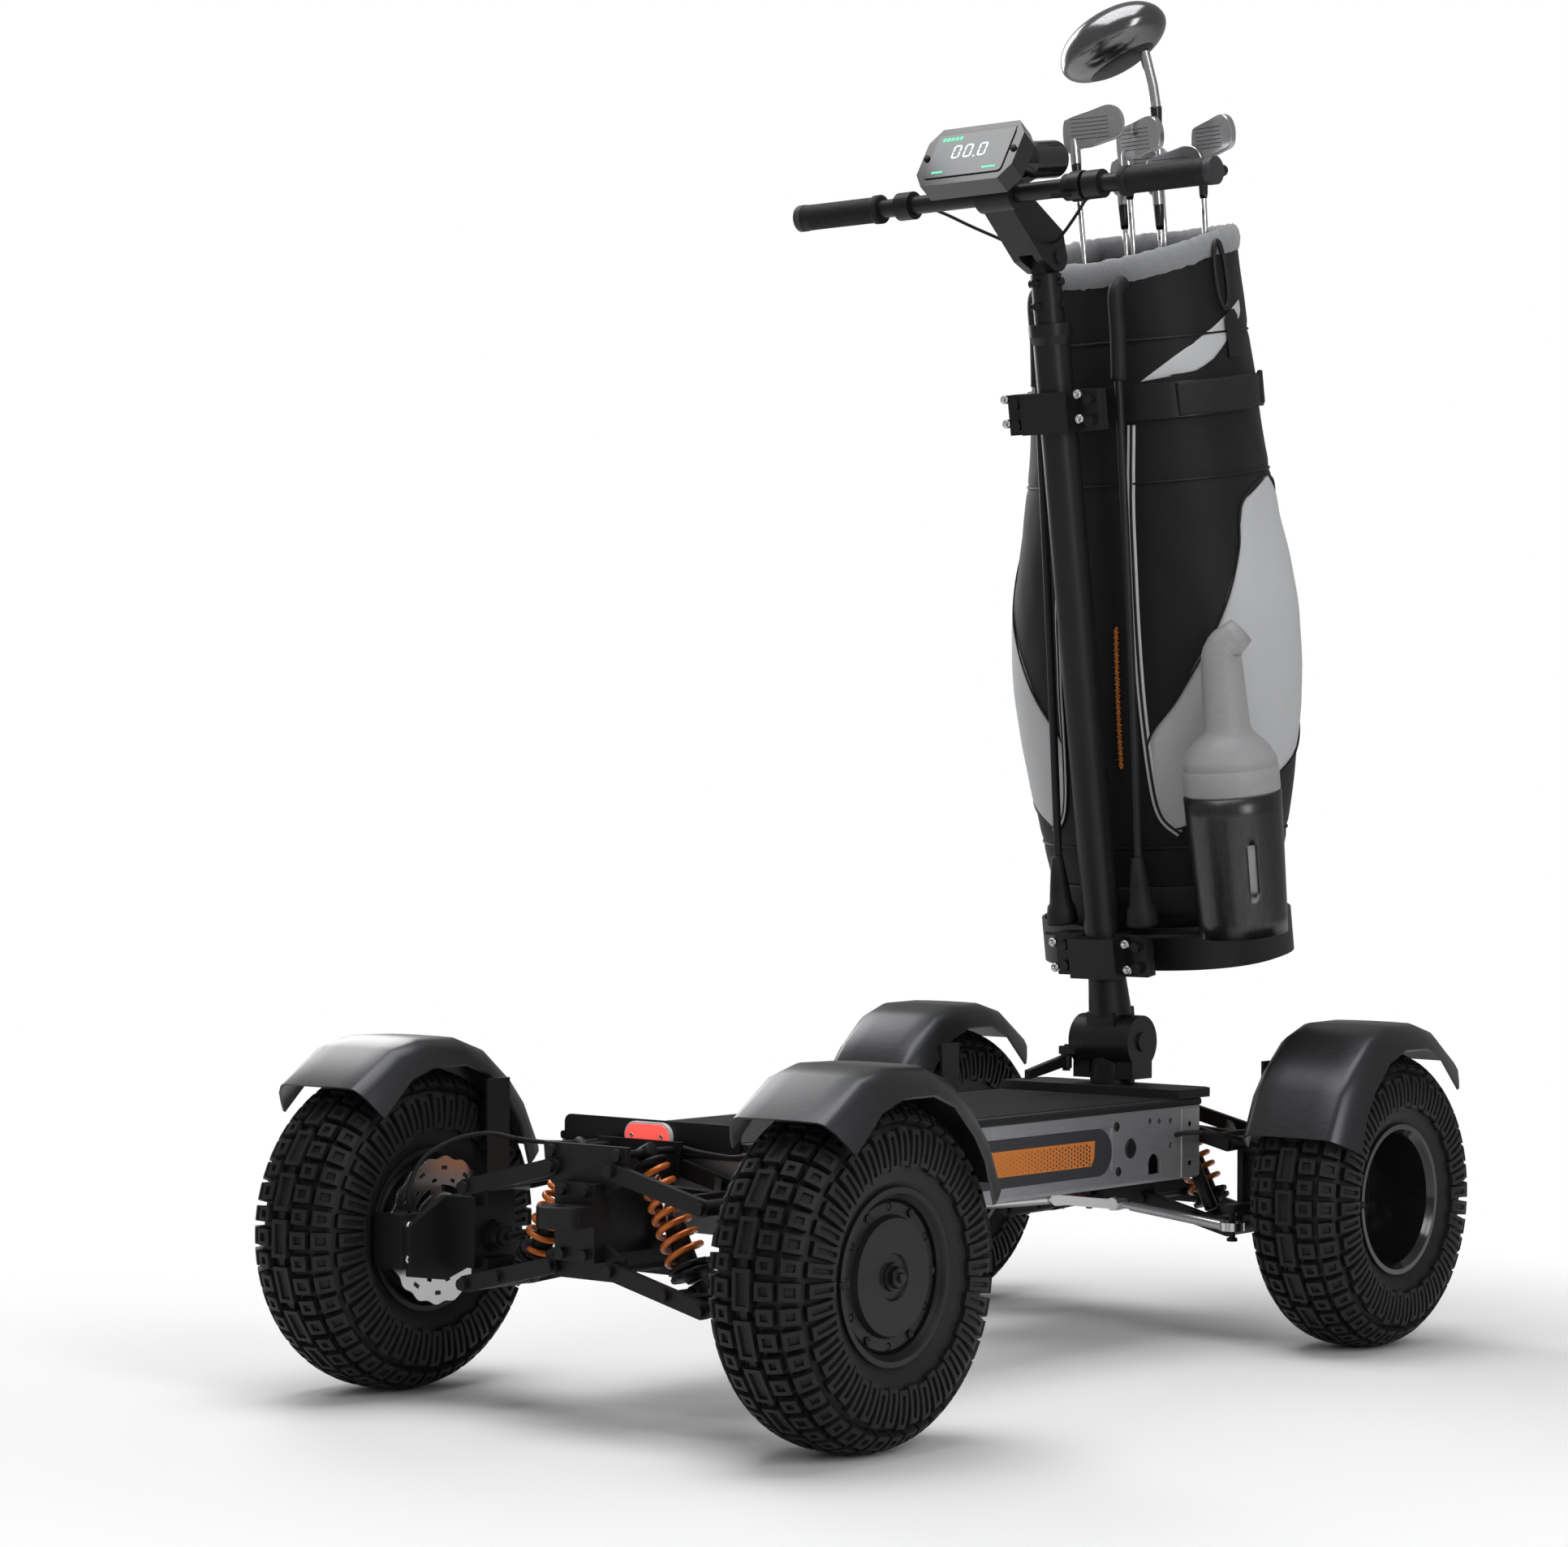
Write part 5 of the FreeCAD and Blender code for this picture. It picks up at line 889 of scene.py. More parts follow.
teardrop = [(194, 592), (169, 566), (162, 506), (149, 421), (132, 335), (118, 286), (117, 235), (121, 194),
            (130, 172),
            (172, 216), (195, 246), (212, 300), (222, 380), (222, 480), (212, 560)]
panelLeft = [(180 - a, h) for a, h in teardrop]
chevron = [(122, 724), (140, 728), (150, 730), (162, 742), (176, 764), (196, 796), (196, 812), (176, 793),
           (160, 776), (142, 754)]

bag = newPiece("clubBag", *bagShape(), "bagCloth", "column", "bag_fabric", ("golf_bag",))
for name, outline in (("rightPanel", teardrop), ("leftPanel", panelLeft)):
    newPiece(name, *patchShape(outline, 0.0022), "bagGrey", "column", "bag_fabric")
    piping = bagLine(outline, 10, 0.0012, True)
    newPiece(name + "Piping", *pipeShape(piping, 0.0015, 8, True), "bagTrim", "column", "bag_fabric")
newPiece("rightChevron", *patchShape(chevron, 0.0014, 16, 30), "bagGrey", "column", "bag_fabric")
newPiece("leftChevron", *patchShape([(180 - a, h) for a, h in chevron], 0.0014, 16, 30), "bagGrey", "column",
         "bag_fabric")
for name, sign in (("rightZip", 1), ("leftZip", -1)):
    strip = [(90 + sign * (a - 90), h) for a,
             h in ((116, 672), (114, 580), (114, 497), (115, 347), (118, 240),
                                                      (122, 190), (131, 166))]
    newPiece(name, *strapShape(strip, 0.010, 0.0016), "bagGrey", "column", "bag_fabric")
    newPiece(name + "Teeth", *strapShape(strip, 0.0035, 0.0012, 0.0022), "bagTrim", "column", "dark_metal")
for index, level in enumerate((0.148, 0.600, 0.775)):
    ring = [bagPoint(a, level, bagSwell(a, level) + 0.0008) for a in range(0, 360, 3)]
    newPiece("seam" + "ABC"[index], *pipeShape(ring, 0.0017, 8, True), "bagTrim", "column", "bag_fabric")


def cuffShape():
    verts, faces = [], []
    steps, around = 240, 12
    for n in range(steps):
        angle = 360 * n / steps
        for k in range(around):
            turn = 2 * math.pi * k / around
            rough = 1 + 0.16 * noise.noise(Vector((n * 0.35, k * 0.9, 3)))
            wide = (0.0105 if math.cos(turn) < 0 else 0.0075) * rough
            verts.append(bagPoint(angle, rimHeight(angle) - 0.010 + 0.017 * rough * math.sin(turn),
                                  -0.0035 + wide * math.cos(turn)))
    for n in range(steps):
        for k in range(around):
            a, b = n * around + k, n * around + (k + 1) % around
            c = ((n + 1) % steps) * around
            faces.append((a, b, c + (k + 1) % around, c + k))
    return verts, faces


newPiece("rimCuff", *cuffShape(), "fleece", "column", "bag_fabric")
dividers = []
for low, high in (((-0.094, -0.0035, 0), (0.094, 0.0035, 0.02)), ((-0.0035, -0.09, 0), (0.0035, 0.09, 0.02)),
                  ((-0.08, 0.045, 0), (0.08, 0.051, 0.02)), ((-0.08, -0.051, 0), (0.08, -0.045, 0.02))):
    dividers.append(blockShape(low, high, 0.0025))
top = Matrix.Translation((0, -bagLook["middle"] - 0.8 * bagLook["tilt"], bagLook["floor"] + 0.79))
newPiece("clubDividers", *moved(joined(*dividers), column @ top), "fleece", "column", "bag_fabric")

newPiece("upperStrap", *strapShape([(a, 699) for a in range(-186, 7, 6)], 0.038, 0.0026, 0.0022, 3),
         "webbing",
         "column", "bag_fabric", ("bag_straps",))
newPiece("lowerStrap", *strapShape([(a, 82) for a in range(-176, 177, 8)], 0.034, 0.0026, 0.0022, 3),
         "webbing",
         "column", "bag_fabric")
newPiece("bandWebbing", *strapShape([(a, 699) for a in range(140, 189, 4)], 0.041, 0.0032, 0.0062, 3),
         "webbing",
         "column", "bag_fabric")
buckles = []
for angle, level in ((214, 699), (-168, 82)):
    spot = bagPoint(angle, level / 1000 if level < 1000 else 0, 0.004)
    outward = (bagPoint(angle, level / 1000, 0.02) - bagPoint(angle, level / 1000)).normalized()
    turned = Matrix.Translation(spot) @ outward.to_track_quat("Z", "Y").to_matrix().to_4x4()
    buckles.append(moved(blockShape((-0.020, -0.021, -0.002), (0.020, 0.021, 0.005), 0.0025), turned))
newPiece("buckles", *joined(*buckles), "moulded", "column", "bag_fabric")
hook = [bagPoint(174 + 5 * math.sin(t / 12 * math.pi), 0.845 - 0.042 * math.cos(t / 12 * math.pi), 0.0075)
        for t in range(24)]
newPiece("snapHook", *pipeShape(hook, 0.0032, 10, True), "satinBlack", "column", "dark_metal")
tag = moved(slabShape([(-0.013, -0.03), (0.013, -0.03), (0.013, 0.022), (0.006, 0.03), (-0.006, 0.03),
                       (-0.013, 0.022)],
                      0, 0.0022, 0.0007),
            Matrix.Translation(bagPoint(180, 0.772, 0.005)) @ column.to_3x3().to_4x4()
            @ Matrix.Rotation(math.pi / 2, 4, "Y") @ Matrix.Rotation(math.pi / 2, 4, "Z"))
newPiece("hangTag", *tag, "moulded", "column", "bag_fabric")
for side, x in (("left", 0.060), ("right", -0.060)):
    sleeve = [(x, -0.076, 0.936), (x, -0.063, 0.930), (x, -0.0575, 0.915), (x, -0.0565, 0.876),
              (x, -0.050, 0.818)]
    tube = [(x, -0.050, 0.83), (x, -0.026, 0.50), (x, -0.002, 0.224)]
    foot = spunShape([(0.1465, 0.012), (0.1475, 0.019), (0.152, 0.0200), (0.170, 0.0175), (0.174, 0.0145),
                      (0.200, 0.0115), (0.232, 0.0075), (0.2335, 0.004)], 36)
    newPiece(side + "BagLeg", *moved(pipeShape(curvePoints(tube, 12), 0.0052, 16), column), "legMetal",
             "column",
             "dark_metal")
    newPiece(side + "LegSleeve", *moved(pipeShape(curvePoints(sleeve, 8), 0.0098, 20), column), "moulded",
             "column",
             "moulded_black")
    newPiece(side + "LegFoot", *moved(foot, column @ Matrix.Translation((x, 0, 0))), "softRubber", "column",
             "moulded_black")
cordLine = [bagPoint(a + 0.9 * math.sin(h * 2.4), h / 1000, 0.003 + 0.0008 * math.cos(h * 2.4))
            for a, h in [(101 + 0.02 * k, 250 + 1.6 * k) for k in range(110)]]
newPiece("orangeCord", *pipeShape(cordLine, 0.0022, 8), "orangeInlay", "column", "spring_orange")
print("bag made")


# bottle and cup

cupLook = {"x": -0.192, "y": -0.022, "floor": 0.138, "height": 0.172, "low": 0.054, "high": 0.060,
           "wall": 0.003}


def bottleShape():
    rim = cupLook["floor"] + cupLook["height"]
    profile = [(cupLook["floor"] + 0.0034, 0.049), (cupLook["floor"] + 0.0045, 0.0505), (rim - 0.002, 0.0555),
               (rim + 0.0008, 0.0558), (rim + 0.002, 0.0582), (rim + 0.0035, 0.0590), (rim + 0.0305, 0.0590),
               (rim + 0.0320, 0.0580), (rim + 0.0328, 0.0572), (rim + 0.0340, 0.0578), (rim + 0.0425, 0.0572),
               (rim + 0.0450, 0.0555), (rim + 0.0560, 0.0500), (rim + 0.0640, 0.0430), (rim + 0.0700, 0.0360),
               (rim + 0.0750, 0.0315), (rim + 0.0800, 0.0292), (rim + 0.0860, 0.0282), (rim + 0.1600, 0.0250),
               (rim + 0.1700, 0.0243)]
    steps = 64
    verts, faces = spunShape(profile, steps)
    verts = [Vector((cupLook["x"] + v.x, cupLook["y"] + v.y, v.z)) for v in verts]
    faces.pop()
    elbow = Vector((cupLook["x"], cupLook["y"], rim + 0.176))
    aim = Vector((-0.026, -0.014, 0.024)).normalized()
    last = len(verts) - steps
    rings = [(0.0, 0.0243), (0.35, 0.0242), (0.7, 0.0234), (1.0, 0.0222), (1.25, 0.0200), (1.45, 0.0178)]
    for share, radius in rings[1:]:
        bend = min(share, 1)
        way = Vector((0, 0, 1)).lerp(aim, bend).normalized()
        side = Vector((1, 0, 0)) - way * way.x
        side.normalize()
        other = way.cross(side)
        centre = elbow + Vector((0, 0, -0.006)).lerp(aim * 0.010, bend) + aim * max(0, share - 1) * 0.055
        for n in range(steps):
            turn = 2 * math.pi * n / steps
            verts.append(centre + (side * math.cos(turn) + other * math.sin(turn)) * radius)
    for ring in range(len(rings) - 1):
        for n in range(steps):
            a, b = last + ring * steps + n, last + ring * steps + (n + 1) % steps
            faces.append((a, b, b + steps, a + steps))
    faces.append(tuple(range(len(verts) - steps, len(verts))))
    return verts, faces


newPiece("sandBottle", *moved(bottleShape(), column), "bottlePlastic", "bottle", "bottle_plastic",
         ("sand_bottle",))


def cupShape():
    steps = 96
    base = cupLook["floor"]
    verts, faces = [], []
    slot = {"angle": 140, "half": 5.2, "low": 0.055, "high": 0.115}
    levels = [0, 0.02, 0.04, 0.055, 0.058, 0.062, 0.075, 0.095, 0.108, 0.112, 0.115, 0.13, 0.15, 0.172]
    inner = [max(level, 0.003) for level in levels]
    for face, heights in ((0, levels), (1, inner)):
        for level in heights:
            radius = cupLook["low"] + (cupLook["high"] - cupLook["low"]) * level / cupLook["height"]
            for n in range(steps):
                turn = 2 * math.pi * n / steps
                place = Vector((math.cos(turn), math.sin(turn), 0)) * (radius - face * cupLook["wall"])
                verts.append(Vector((cupLook["x"], cupLook["y"], base + level)) + place)
    count = len(levels)
    first = round((slot["angle"] - slot["half"]) / 360 * steps)
    last = round((slot["angle"] + slot["half"]) / 360 * steps)
    half = count * steps

    def isOpen(row, n):
        return (first <= n < last and levels[row] >= slot["low"] - 1e-6
                and levels[row + 1] <= slot["high"] + 1e-6)

    for row in range(count - 1):
        for n in range(steps):
            m = (n + 1) % steps
            a, b, c, d = row * steps + n, row * steps + m, (row + 1) * steps + m, (row + 1) * steps + n
            if isOpen(row, n):
                continue
            faces.append((a, b, c, d))
            faces.append((half + d, half + c, half + b, half + a))
            if 0 <= n - 1 and isOpen(row, n - 1):
                faces.append((a, d, half + d, half + a))
            if isOpen(row, m):
                faces.append((b, c, half + c, half + b))
            if row + 1 < count - 1 and isOpen(row + 1, n):
                faces.append((d, c, half + c, half + d))
            if row and isOpen(row - 1, n):
                faces.append((a, b, half + b, half + a))
    top = (count - 1) * steps
    for n in range(steps):
        m = (n + 1) % steps
        faces.append((top + n, top + m, half + top + m, half + top + n))
    faces.append(tuple(range(steps)))
    faces.append(tuple(range(half, half + steps)))
    return verts, faces


newPiece("bottleCup", *moved(cupShape(), column), "cupMetal", "column", "cup_metal", ("bottle_cup",))
print("bottle and cup made")


# clubs

clubLook = {
    "irons": [(0.062, -0.178, 1.112, 24), (0.014, -0.222, 1.092, -12), (0.044, -0.250, 1.056, 30),
              (-0.038, -0.206, 1.050, 8), (-0.076, -0.254, 1.084, -18)],
    "driver": (-0.020, -0.246, 1.172), "foot": 0.0965,
}


def ironHead():
    outline = [(-0.0085, -0.004), (0.004, -0.0095), (0.011, -0.004), (0.013, 0.012), (0.011, 0.030),
               (0.004, 0.0365),
               (-0.020, 0.0425), (-0.044, 0.0475), (-0.057, 0.0445), (-0.0645, 0.034), (-0.0655, 0.020),
               (-0.0600, 0.007), (-0.040, 0.001), (-0.022, -0.003)]
    blade = slabShape([(p.x, p.y) for p in curvePoints([(x, z, 0) for x, z in outline], 5, True)], -0.0046,
                      0.0046, 0.0016)
    back = slabShape([(-0.050, 0.030), (0.006, 0.024), (0.009, 0.032), (-0.022, 0.0395), (-0.046, 0.043),
                      (-0.058, 0.040)],
                     0.003, 0.0075, 0.0015)
    # the face grooves as near-black strips on the flat face: painted shade in place of cut grooves
    grooveShade = [blockShape((-0.046, 0.008 + 0.005 * k, -0.0049),
                          (0.002, 0.0088 + 0.005 * k, -0.004)) for k in range(6)]
    upright = Matrix.Rotation(math.pi / 2, 4, "X")
    hosel = spunShape([(-0.022, 0.0062), (-0.021, 0.0072), (0.002, 0.0072), (0.010, 0.0050)], 30)
    return joined(moved(blade, upright), moved(back, upright), hosel), moved(joined(*grooveShade), upright)


metal, marks, shafts, ferrules = [], [], [], []
for x, y, high, turn in clubLook["irons"]:
    place = column @ Matrix.Translation((x, y, high)) @ Matrix.Rotation(math.radians(turn), 4, "Z")
    # the second shape from ironHead is the painted groove shade
    head, grooveShade = ironHead()
    metal.append(moved(head, place))
    marks.append(moved(grooveShade, place))
    foot = Vector((x * 0.75, -0.190 + (y + 0.220) * 0.7, clubLook["foot"]))
    tip = Vector((x, y, high - 0.0226))
    shafts.append(moved(pipeShape([foot.lerp(tip, k / 20) for k in range(21)], lambda t: 0.0049 - 0.0012 * t,
                                  16), column))
    way = (tip - foot).normalized()
    ferrules.append(moved(pipeShape([tip - way * 0.030, tip - way * 0.024, tip - way * 0.002,
                                     tip + way * 0.002],
                                    lambda t: 0.0044 + 0.0022 * min(1, t * 1.6), 20), column))
x, y, high = clubLook["driver"]
foot, tip = Vector((x * 0.75, -0.222, clubLook["foot"])), Vector((x, y, high - 0.0223))
shafts.append(moved(pipeShape([foot.lerp(tip, k / 20) for k in range(21)], lambda t: 0.0049 - 0.0008 * t, 16),
                    column))
way = (tip - foot).normalized()
ferrules.append(moved(pipeShape([tip - way * 0.032, tip - way * 0.026, tip - way * 0.002, tip + way * 0.002],
                                lambda t: 0.0046 + 0.0030 * min(1, t * 1.6), 20), column))


def driverHead():
    verts, faces = [], []
    rows, steps = 24, 48
    for row in range(rows + 1):
        lift = -math.pi / 2 + math.pi * row / rows
        for n in range(steps):
            turn = 2 * math.pi * n / steps
            flat = 0.80 if math.sin(lift) < 0 else 1.0
            out = max(math.cos(lift), 0.004) ** 0.86
            verts.append(Vector((0.077 * out * math.cos(turn), 0.060 * out * math.sin(turn),
                                 0.040 * flat * math.sin(lift))))
    for row in range(rows):
        for n in range(steps):
            a, b = row * steps + n, row * steps + (n + 1) % steps
            faces.append((a, b, b + steps, a + steps))
    faces.append(tuple(range(steps)))
    faces.append(tuple(range(rows * steps, (rows + 1) * steps)))
    return verts, faces


driver = column @ Matrix.Translation((x + 0.050, y + 0.008,
                                      high + 0.064)) @ Matrix.Rotation(math.radians(24), 4, "Y")
metal.append(moved(pipeShape([(x, y, high - 0.022), (x + 0.002, y, high + 0.006),
                              (x + 0.009, y + 0.002, high + 0.050)],
                             0.0068, 20), column))
newPiece("driverHead", *moved(driverHead(), driver), "driverMetal", "clubs", "plain_alloy", ("golf_clubs",))
inset = [(v[0] * 0.72, v[1] * 0.70, v[2] * 0.5 - 0.0175) for v in driverHead()[0]]
newPiece("driverSole", *moved(([Vector(v) for v in inset], driverHead()[1]), driver), "clubDark", "clubs",
         "plain_alloy")
newPiece("ironHeads", *joined(*metal), "clubSilver", "clubs", "plain_alloy", smooth=False)
# painted groove shade: dark strips on the iron faces
newPiece("ironGrooveShade", *joined(*marks), "clubDark", "clubs", "plain_alloy", smooth=False)
newPiece("clubShafts", *joined(*shafts), "chrome", "clubs", "plain_alloy")
newPiece("clubFerrules", *joined(*ferrules), "glossBlack", "clubs", "plain_alloy")
print("clubs made")


# deck

deckLook = {
    "half": 0.1300, "panelZ": 0.2395, "nose": -0.247,
    "stripeEnd": -0.211, "matPitch": 0.0075,
}


def sidePlate(sign, outline, low, high, bevel=0.0006):
    # outline in (y, z), raised outwards from the deck side
    verts, faces = slabShape(outline, low, high, bevel)
    return [Vector((sign * (deckLook["half"] + v.z), v.x, v.y)) for v in verts], faces


def roundedEnd(start, nose, middle, tall, steps=14):
    # long panel with a half-round front end
    radius = tall / 2
    points = [(start, middle - radius), (start, middle + radius)]
    for n in range(steps + 1):
        turn = math.pi / 2 + math.pi * n / steps
        points.append((nose + radius + radius * math.cos(turn), middle + radius * math.sin(turn)))
    return points


insets, stripes, dots, holeShadeDiscs, brackets = [], [], [], [], []
for sign in (-1, 1):
    insets.append(sidePlate(sign, roundedEnd(0.405, deckLook["nose"], deckLook["panelZ"], 0.056), -0.0012,
                            0.0006))
    for k in range(34):
        for row in range(5):
            size = 0.0017 - 0.00004 * k
            y = deckLook["stripeEnd"] + 0.012 + k * 0.0062
            z = deckLook["panelZ"] - 0.012 + (row + 0.5 * (k % 2)) * 0.005
            dots.append(moved(spunShape([(-0.0008, size), (0.0012, size)], 10),
                              Matrix.Translation((sign * deckLook["half"], y,
                                                  z)) @ Matrix.Rotation(sign * math.pi / 2, 4, "Y")))
    ends = (0.390, deckLook["stripeEnd"])
    stripes.append(sidePlate(sign,
                             [(ends[0], deckLook["panelZ"] - 0.015),
                              (ends[1] + 0.008, deckLook["panelZ"] - 0.015),
                                    (ends[1] + 0.002, deckLook["panelZ"] - 0.006),
                              (ends[1], deckLook["panelZ"] + 0.015),
                                    (ends[0], deckLook["panelZ"] + 0.015)], -0.001, 0.0010))
    brackets.append(sidePlate(sign,
                              [(-0.398, 0.198), (-0.398, 0.281), (-0.4375, 0.281), (-0.4375, 0.206),
                               (-0.430, 0.198)],
                              -0.0012, 0.0012))
    # holes in the deck sides as black discs on the surface: painted shade in place of open holes
    for y, z, size in ((0.424, 0.222, 0.0038), (0.424, 0.262, 0.0038), (-0.288, 0.240, 0.0105),
                       (-0.262, 0.214, 0.0045),
                       (-0.258, 0.268, 0.0045), (-0.415, 0.262, 0.0038), (-0.415, 0.214, 0.0038)):
        holeShadeDiscs.append(moved(spunShape([(-0.003, size), (0.0011, size), (0.0012, size * 0.85)], 28),
                               Matrix.Translation((sign * deckLook["half"], y,
                                                   z)) @ Matrix.Rotation(sign * math.pi / 2, 4, "Y")))
newPiece("sideInsets", *joined(*insets), "insetDark", "chassis", "dark_metal", smooth=False)
newPiece("sideStripes", *joined(*stripes), "orangeInlay", "chassis", "spring_orange", smooth=False)
newPiece("stripeDots", *joined(*dots), "insetDark", "chassis", "dark_metal")
newPiece("frontBrackets", *joined(*brackets), "brushedAlloy", "chassis", "plain_alloy", smooth=False)
# painted hole shade: black discs on the deck sides
newPiece("sideHoleShade", *joined(*holeShadeDiscs), "satinBlack", "chassis", "dark_metal")

low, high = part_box("deck_mat")
ribs = [blockShape((low[0], low[1], low[2]), (high[0], high[1], low[2] + 0.003))]
count = int((high[0] - low[0]) / deckLook["matPitch"])
for n in range(count):
    x = low[0] + (n + 0.5) * (high[0] - low[0]) / count
    ribs.append(blockShape((x - 0.0023, low[1] + 0.003, low[2] + 0.002),
                           (x + 0.0023, high[1] - 0.003, high[2]), 0.0009))
newPiece("ribbedMat", *joined(*ribs), "matRubber", "chassis", "mat_rubber", ("deck_mat",), smooth=False)

low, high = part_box("tail_light")
middle = (low[2] + high[2]) / 2


def lightPlate(grow, front, back, bevel):
    half, tall = (high[0] - low[0]) / 2 + grow, (high[2] - low[2]) / 2 + grow
    points = []
    for cx, cz, start in ((half - tall, 0, -90), (-(half - tall), 0, 90)):
        points += [(cx + tall * math.cos(math.radians(start + 12 * k)),
                    cz + tall * math.sin(math.radians(start + 12 * k)))
                   for k in range(16)]
    verts, faces = slabShape(points, front, back, bevel)
    return [Vector((v.x, v.z, middle + v.y)) for v in verts], faces


newPiece("tailGlow", *lightPlate(-0.0022, low[1], high[1] + 0.0008, 0.0014), "tailRed", "chassis", "lens_red",
         ("tail_light",))
newPiece("tailRim", *lightPlate(0.0, low[1], high[1] - 0.0006, 0.0006), "whiteRim", "chassis",
         "moulded_black")
tailScrews = [moved(screwShape(0.0026, 0.0014), Matrix.Translation((sign * 0.021, high[1] + 0.0004, middle))
                    @ Matrix.Rotation(-math.pi / 2, 4, "X")) for sign in (-1, 1)]
newPiece("tailScrews", *joined(*tailScrews), "steel", "chassis", "dark_metal")
print("deck made")


# cockpit

cockpit = {
    "bar": (0.0817, 1.054), "half": 0.306, "grip": 0.128, "displayAt": (0.0, 0.125, 1.096), "tilt": 41.3,
    "lamp": (1.094, 0.023),
}


def gripShape(sign):
    outer = cockpit["half"]
    inner = outer - cockpit["grip"]
    profile = [(inner, 0.0125), (inner + 0.0005, 0.0178), (inner + 0.009, 0.0178), (inner + 0.0095, 0.0162)]
    steps = 26
    for n in range(steps):
        level = inner + 0.012 + n * (outer - 0.020 - inner - 0.012) / steps
        pitch = (outer - 0.020 - inner - 0.012) / steps
        profile += [(level, 0.0148), (level + pitch * 0.25, 0.0159), (level + pitch * 0.75, 0.0159)]
    profile += [(outer - 0.0105, 0.0162), (outer - 0.0095, 0.0160), (outer - 0.0092, 0.0125)]
    shape = spunShape(profile, 60)
    cap = spunShape([(outer - 0.0092, 0.012), (outer - 0.009, 0.0166), (outer + 0.0002, 0.0166),
                     (outer + 0.0008, 0.0158),
                     (outer + 0.001, 0.007)], 48)
    turn = Matrix.Translation((0, *cockpit["bar"])) @ Matrix.Rotation(sign * math.pi / 2, 4, "Y")
    return moved(shape, column @ turn), moved(cap, column @ turn)


rubber, caps = zip(*[gripShape(sign) for sign in (-1, 1)])
newPiece("ribbedGrips", *joined(*rubber), "softRubber", "bars", "moulded_black", ("grips",))
newPiece("gripCaps", *joined(*caps), "shellGrey", "bars", "dark_metal")

reading = Matrix(((-1, 0, 0, 0), (0, 0, 1, 0), (0, 1, 0, 0), (0, 0, 0, 1)))
screen = (column @ Matrix.Translation(cockpit["displayAt"])
          @ Matrix.Rotation(math.radians(cockpit["tilt"]), 4, "X")
          @ reading)
topLevel = 0.015


def roundedBlock(halfX, halfY, radius):
    points = []
    for cx, cy, start in ((halfX - radius, -halfY + radius, -90), (halfX - radius, halfY - radius, 0),
                          (-halfX + radius, halfY - radius, 90), (-halfX + radius, -halfY + radius, 180)):
        points += [(cx + radius * math.cos(math.radians(start + 15 * k)),
                    cy + radius * math.sin(math.radians(start + 15 * k)))
                   for k in range(7)]
    return points


glass = slabShape(roundedBlock(0.057, 0.0335, 0.006), topLevel - 0.004, topLevel + 0.0006, 0.0005)
newPiece("displayGlass", *moved(glass, screen), "displayGlass", "bars", "moulded_black", smooth=False)
segments = {"top": (0, 1, 0), "mid": (0, 0, 0), "low": (0, -1, 0), "ul": (-0.5, 0.5, 1), "ur": (0.5, 0.5, 1),
            "ll": (-0.5, -0.5, 1), "lr": (0.5, -0.5, 1)}


def digitShape(x, y, size, lit):
    bars = []
    for name in lit:
        dx, dy, standing = segments[name]
        cx, cy = x + dx * size * 1.0, y + dy * size * 0.95
        a, b = (size * 0.10, size * 0.40) if standing else (size * 0.40, size * 0.10)
        bars.append(blockShape((cx - a, cy - b, topLevel), (cx + a, cy + b, topLevel + 0.0009)))
    return joined(*bars)


ring = ("top", "low", "ul", "ur", "ll", "lr")
digits = [digitShape(x, 0.004, 0.0095, ring) for x in (-0.020, -0.003, 0.018)]
digits.append(blockShape((0.0068, -0.0065, topLevel), (0.0088, -0.0045, topLevel + 0.0009)))
newPiece("speedDigits", *moved(joined(*digits), screen), "digitWhite", "bars", "moulded_black", smooth=False)
gauges = [blockShape((-0.048 + 0.0062 * k, 0.0225, topLevel),
                     (-0.0436 + 0.0062 * k, 0.0275, topLevel + 0.0009)) for k in range(5)]
gauges += [blockShape((-0.046, -0.0268, topLevel), (-0.030, -0.0242, topLevel + 0.0009)),
           blockShape((0.028, -0.0268, topLevel), (0.047, -0.0242, topLevel + 0.0009))]
newPiece("displayMarks", *moved(joined(*gauges), screen), "digitGreen", "bars", "moulded_black", smooth=False)
buttons = [moved(spunShape([(topLevel - 0.002, 0.0042), (topLevel + 0.0012, 0.0042),
                            (topLevel + 0.002, 0.0032)], 28),
                 screen @ Matrix.Translation((x, 0.0, 0))) for x in (-0.0635, 0.0635)]
newPiece("displayButtons", *joined(*buttons), "softRubber", "bars", "moulded_black")

lamp = spunShape([(-0.0012, 0.0185), (-0.0010, 0.0200), (0.002, 0.0200), (0.004, 0.0170), (0.0045, 0.008)],
                 48)
lampFront = column @ Matrix.Translation((0, -0.038,
                                         cockpit["lamp"][0])) @ Matrix.Rotation(math.pi / 2, 4, "X")
newPiece("headlightLens", *moved(lamp, lampFront), "lampLens", "bars", "moulded_black")
print("cockpit made")


# bolts on the column

clampScrews = []
for level in (0.762 + 0.016, 0.762 + 0.046, 0.084 + 0.014, 0.084 + 0.046):
    for x in (-0.054, 0.054):
        clampScrews.append(moved(screwShape(0.0056, 0.0054), column @ Matrix.Translation((x, 0.0305, level))
                                 @ Matrix.Rotation(-math.pi / 2, 4, "X")))
newPiece("clampScrews", *joined(*clampScrews), "steel", "column", "dark_metal")
print("bolts made")


# wheels

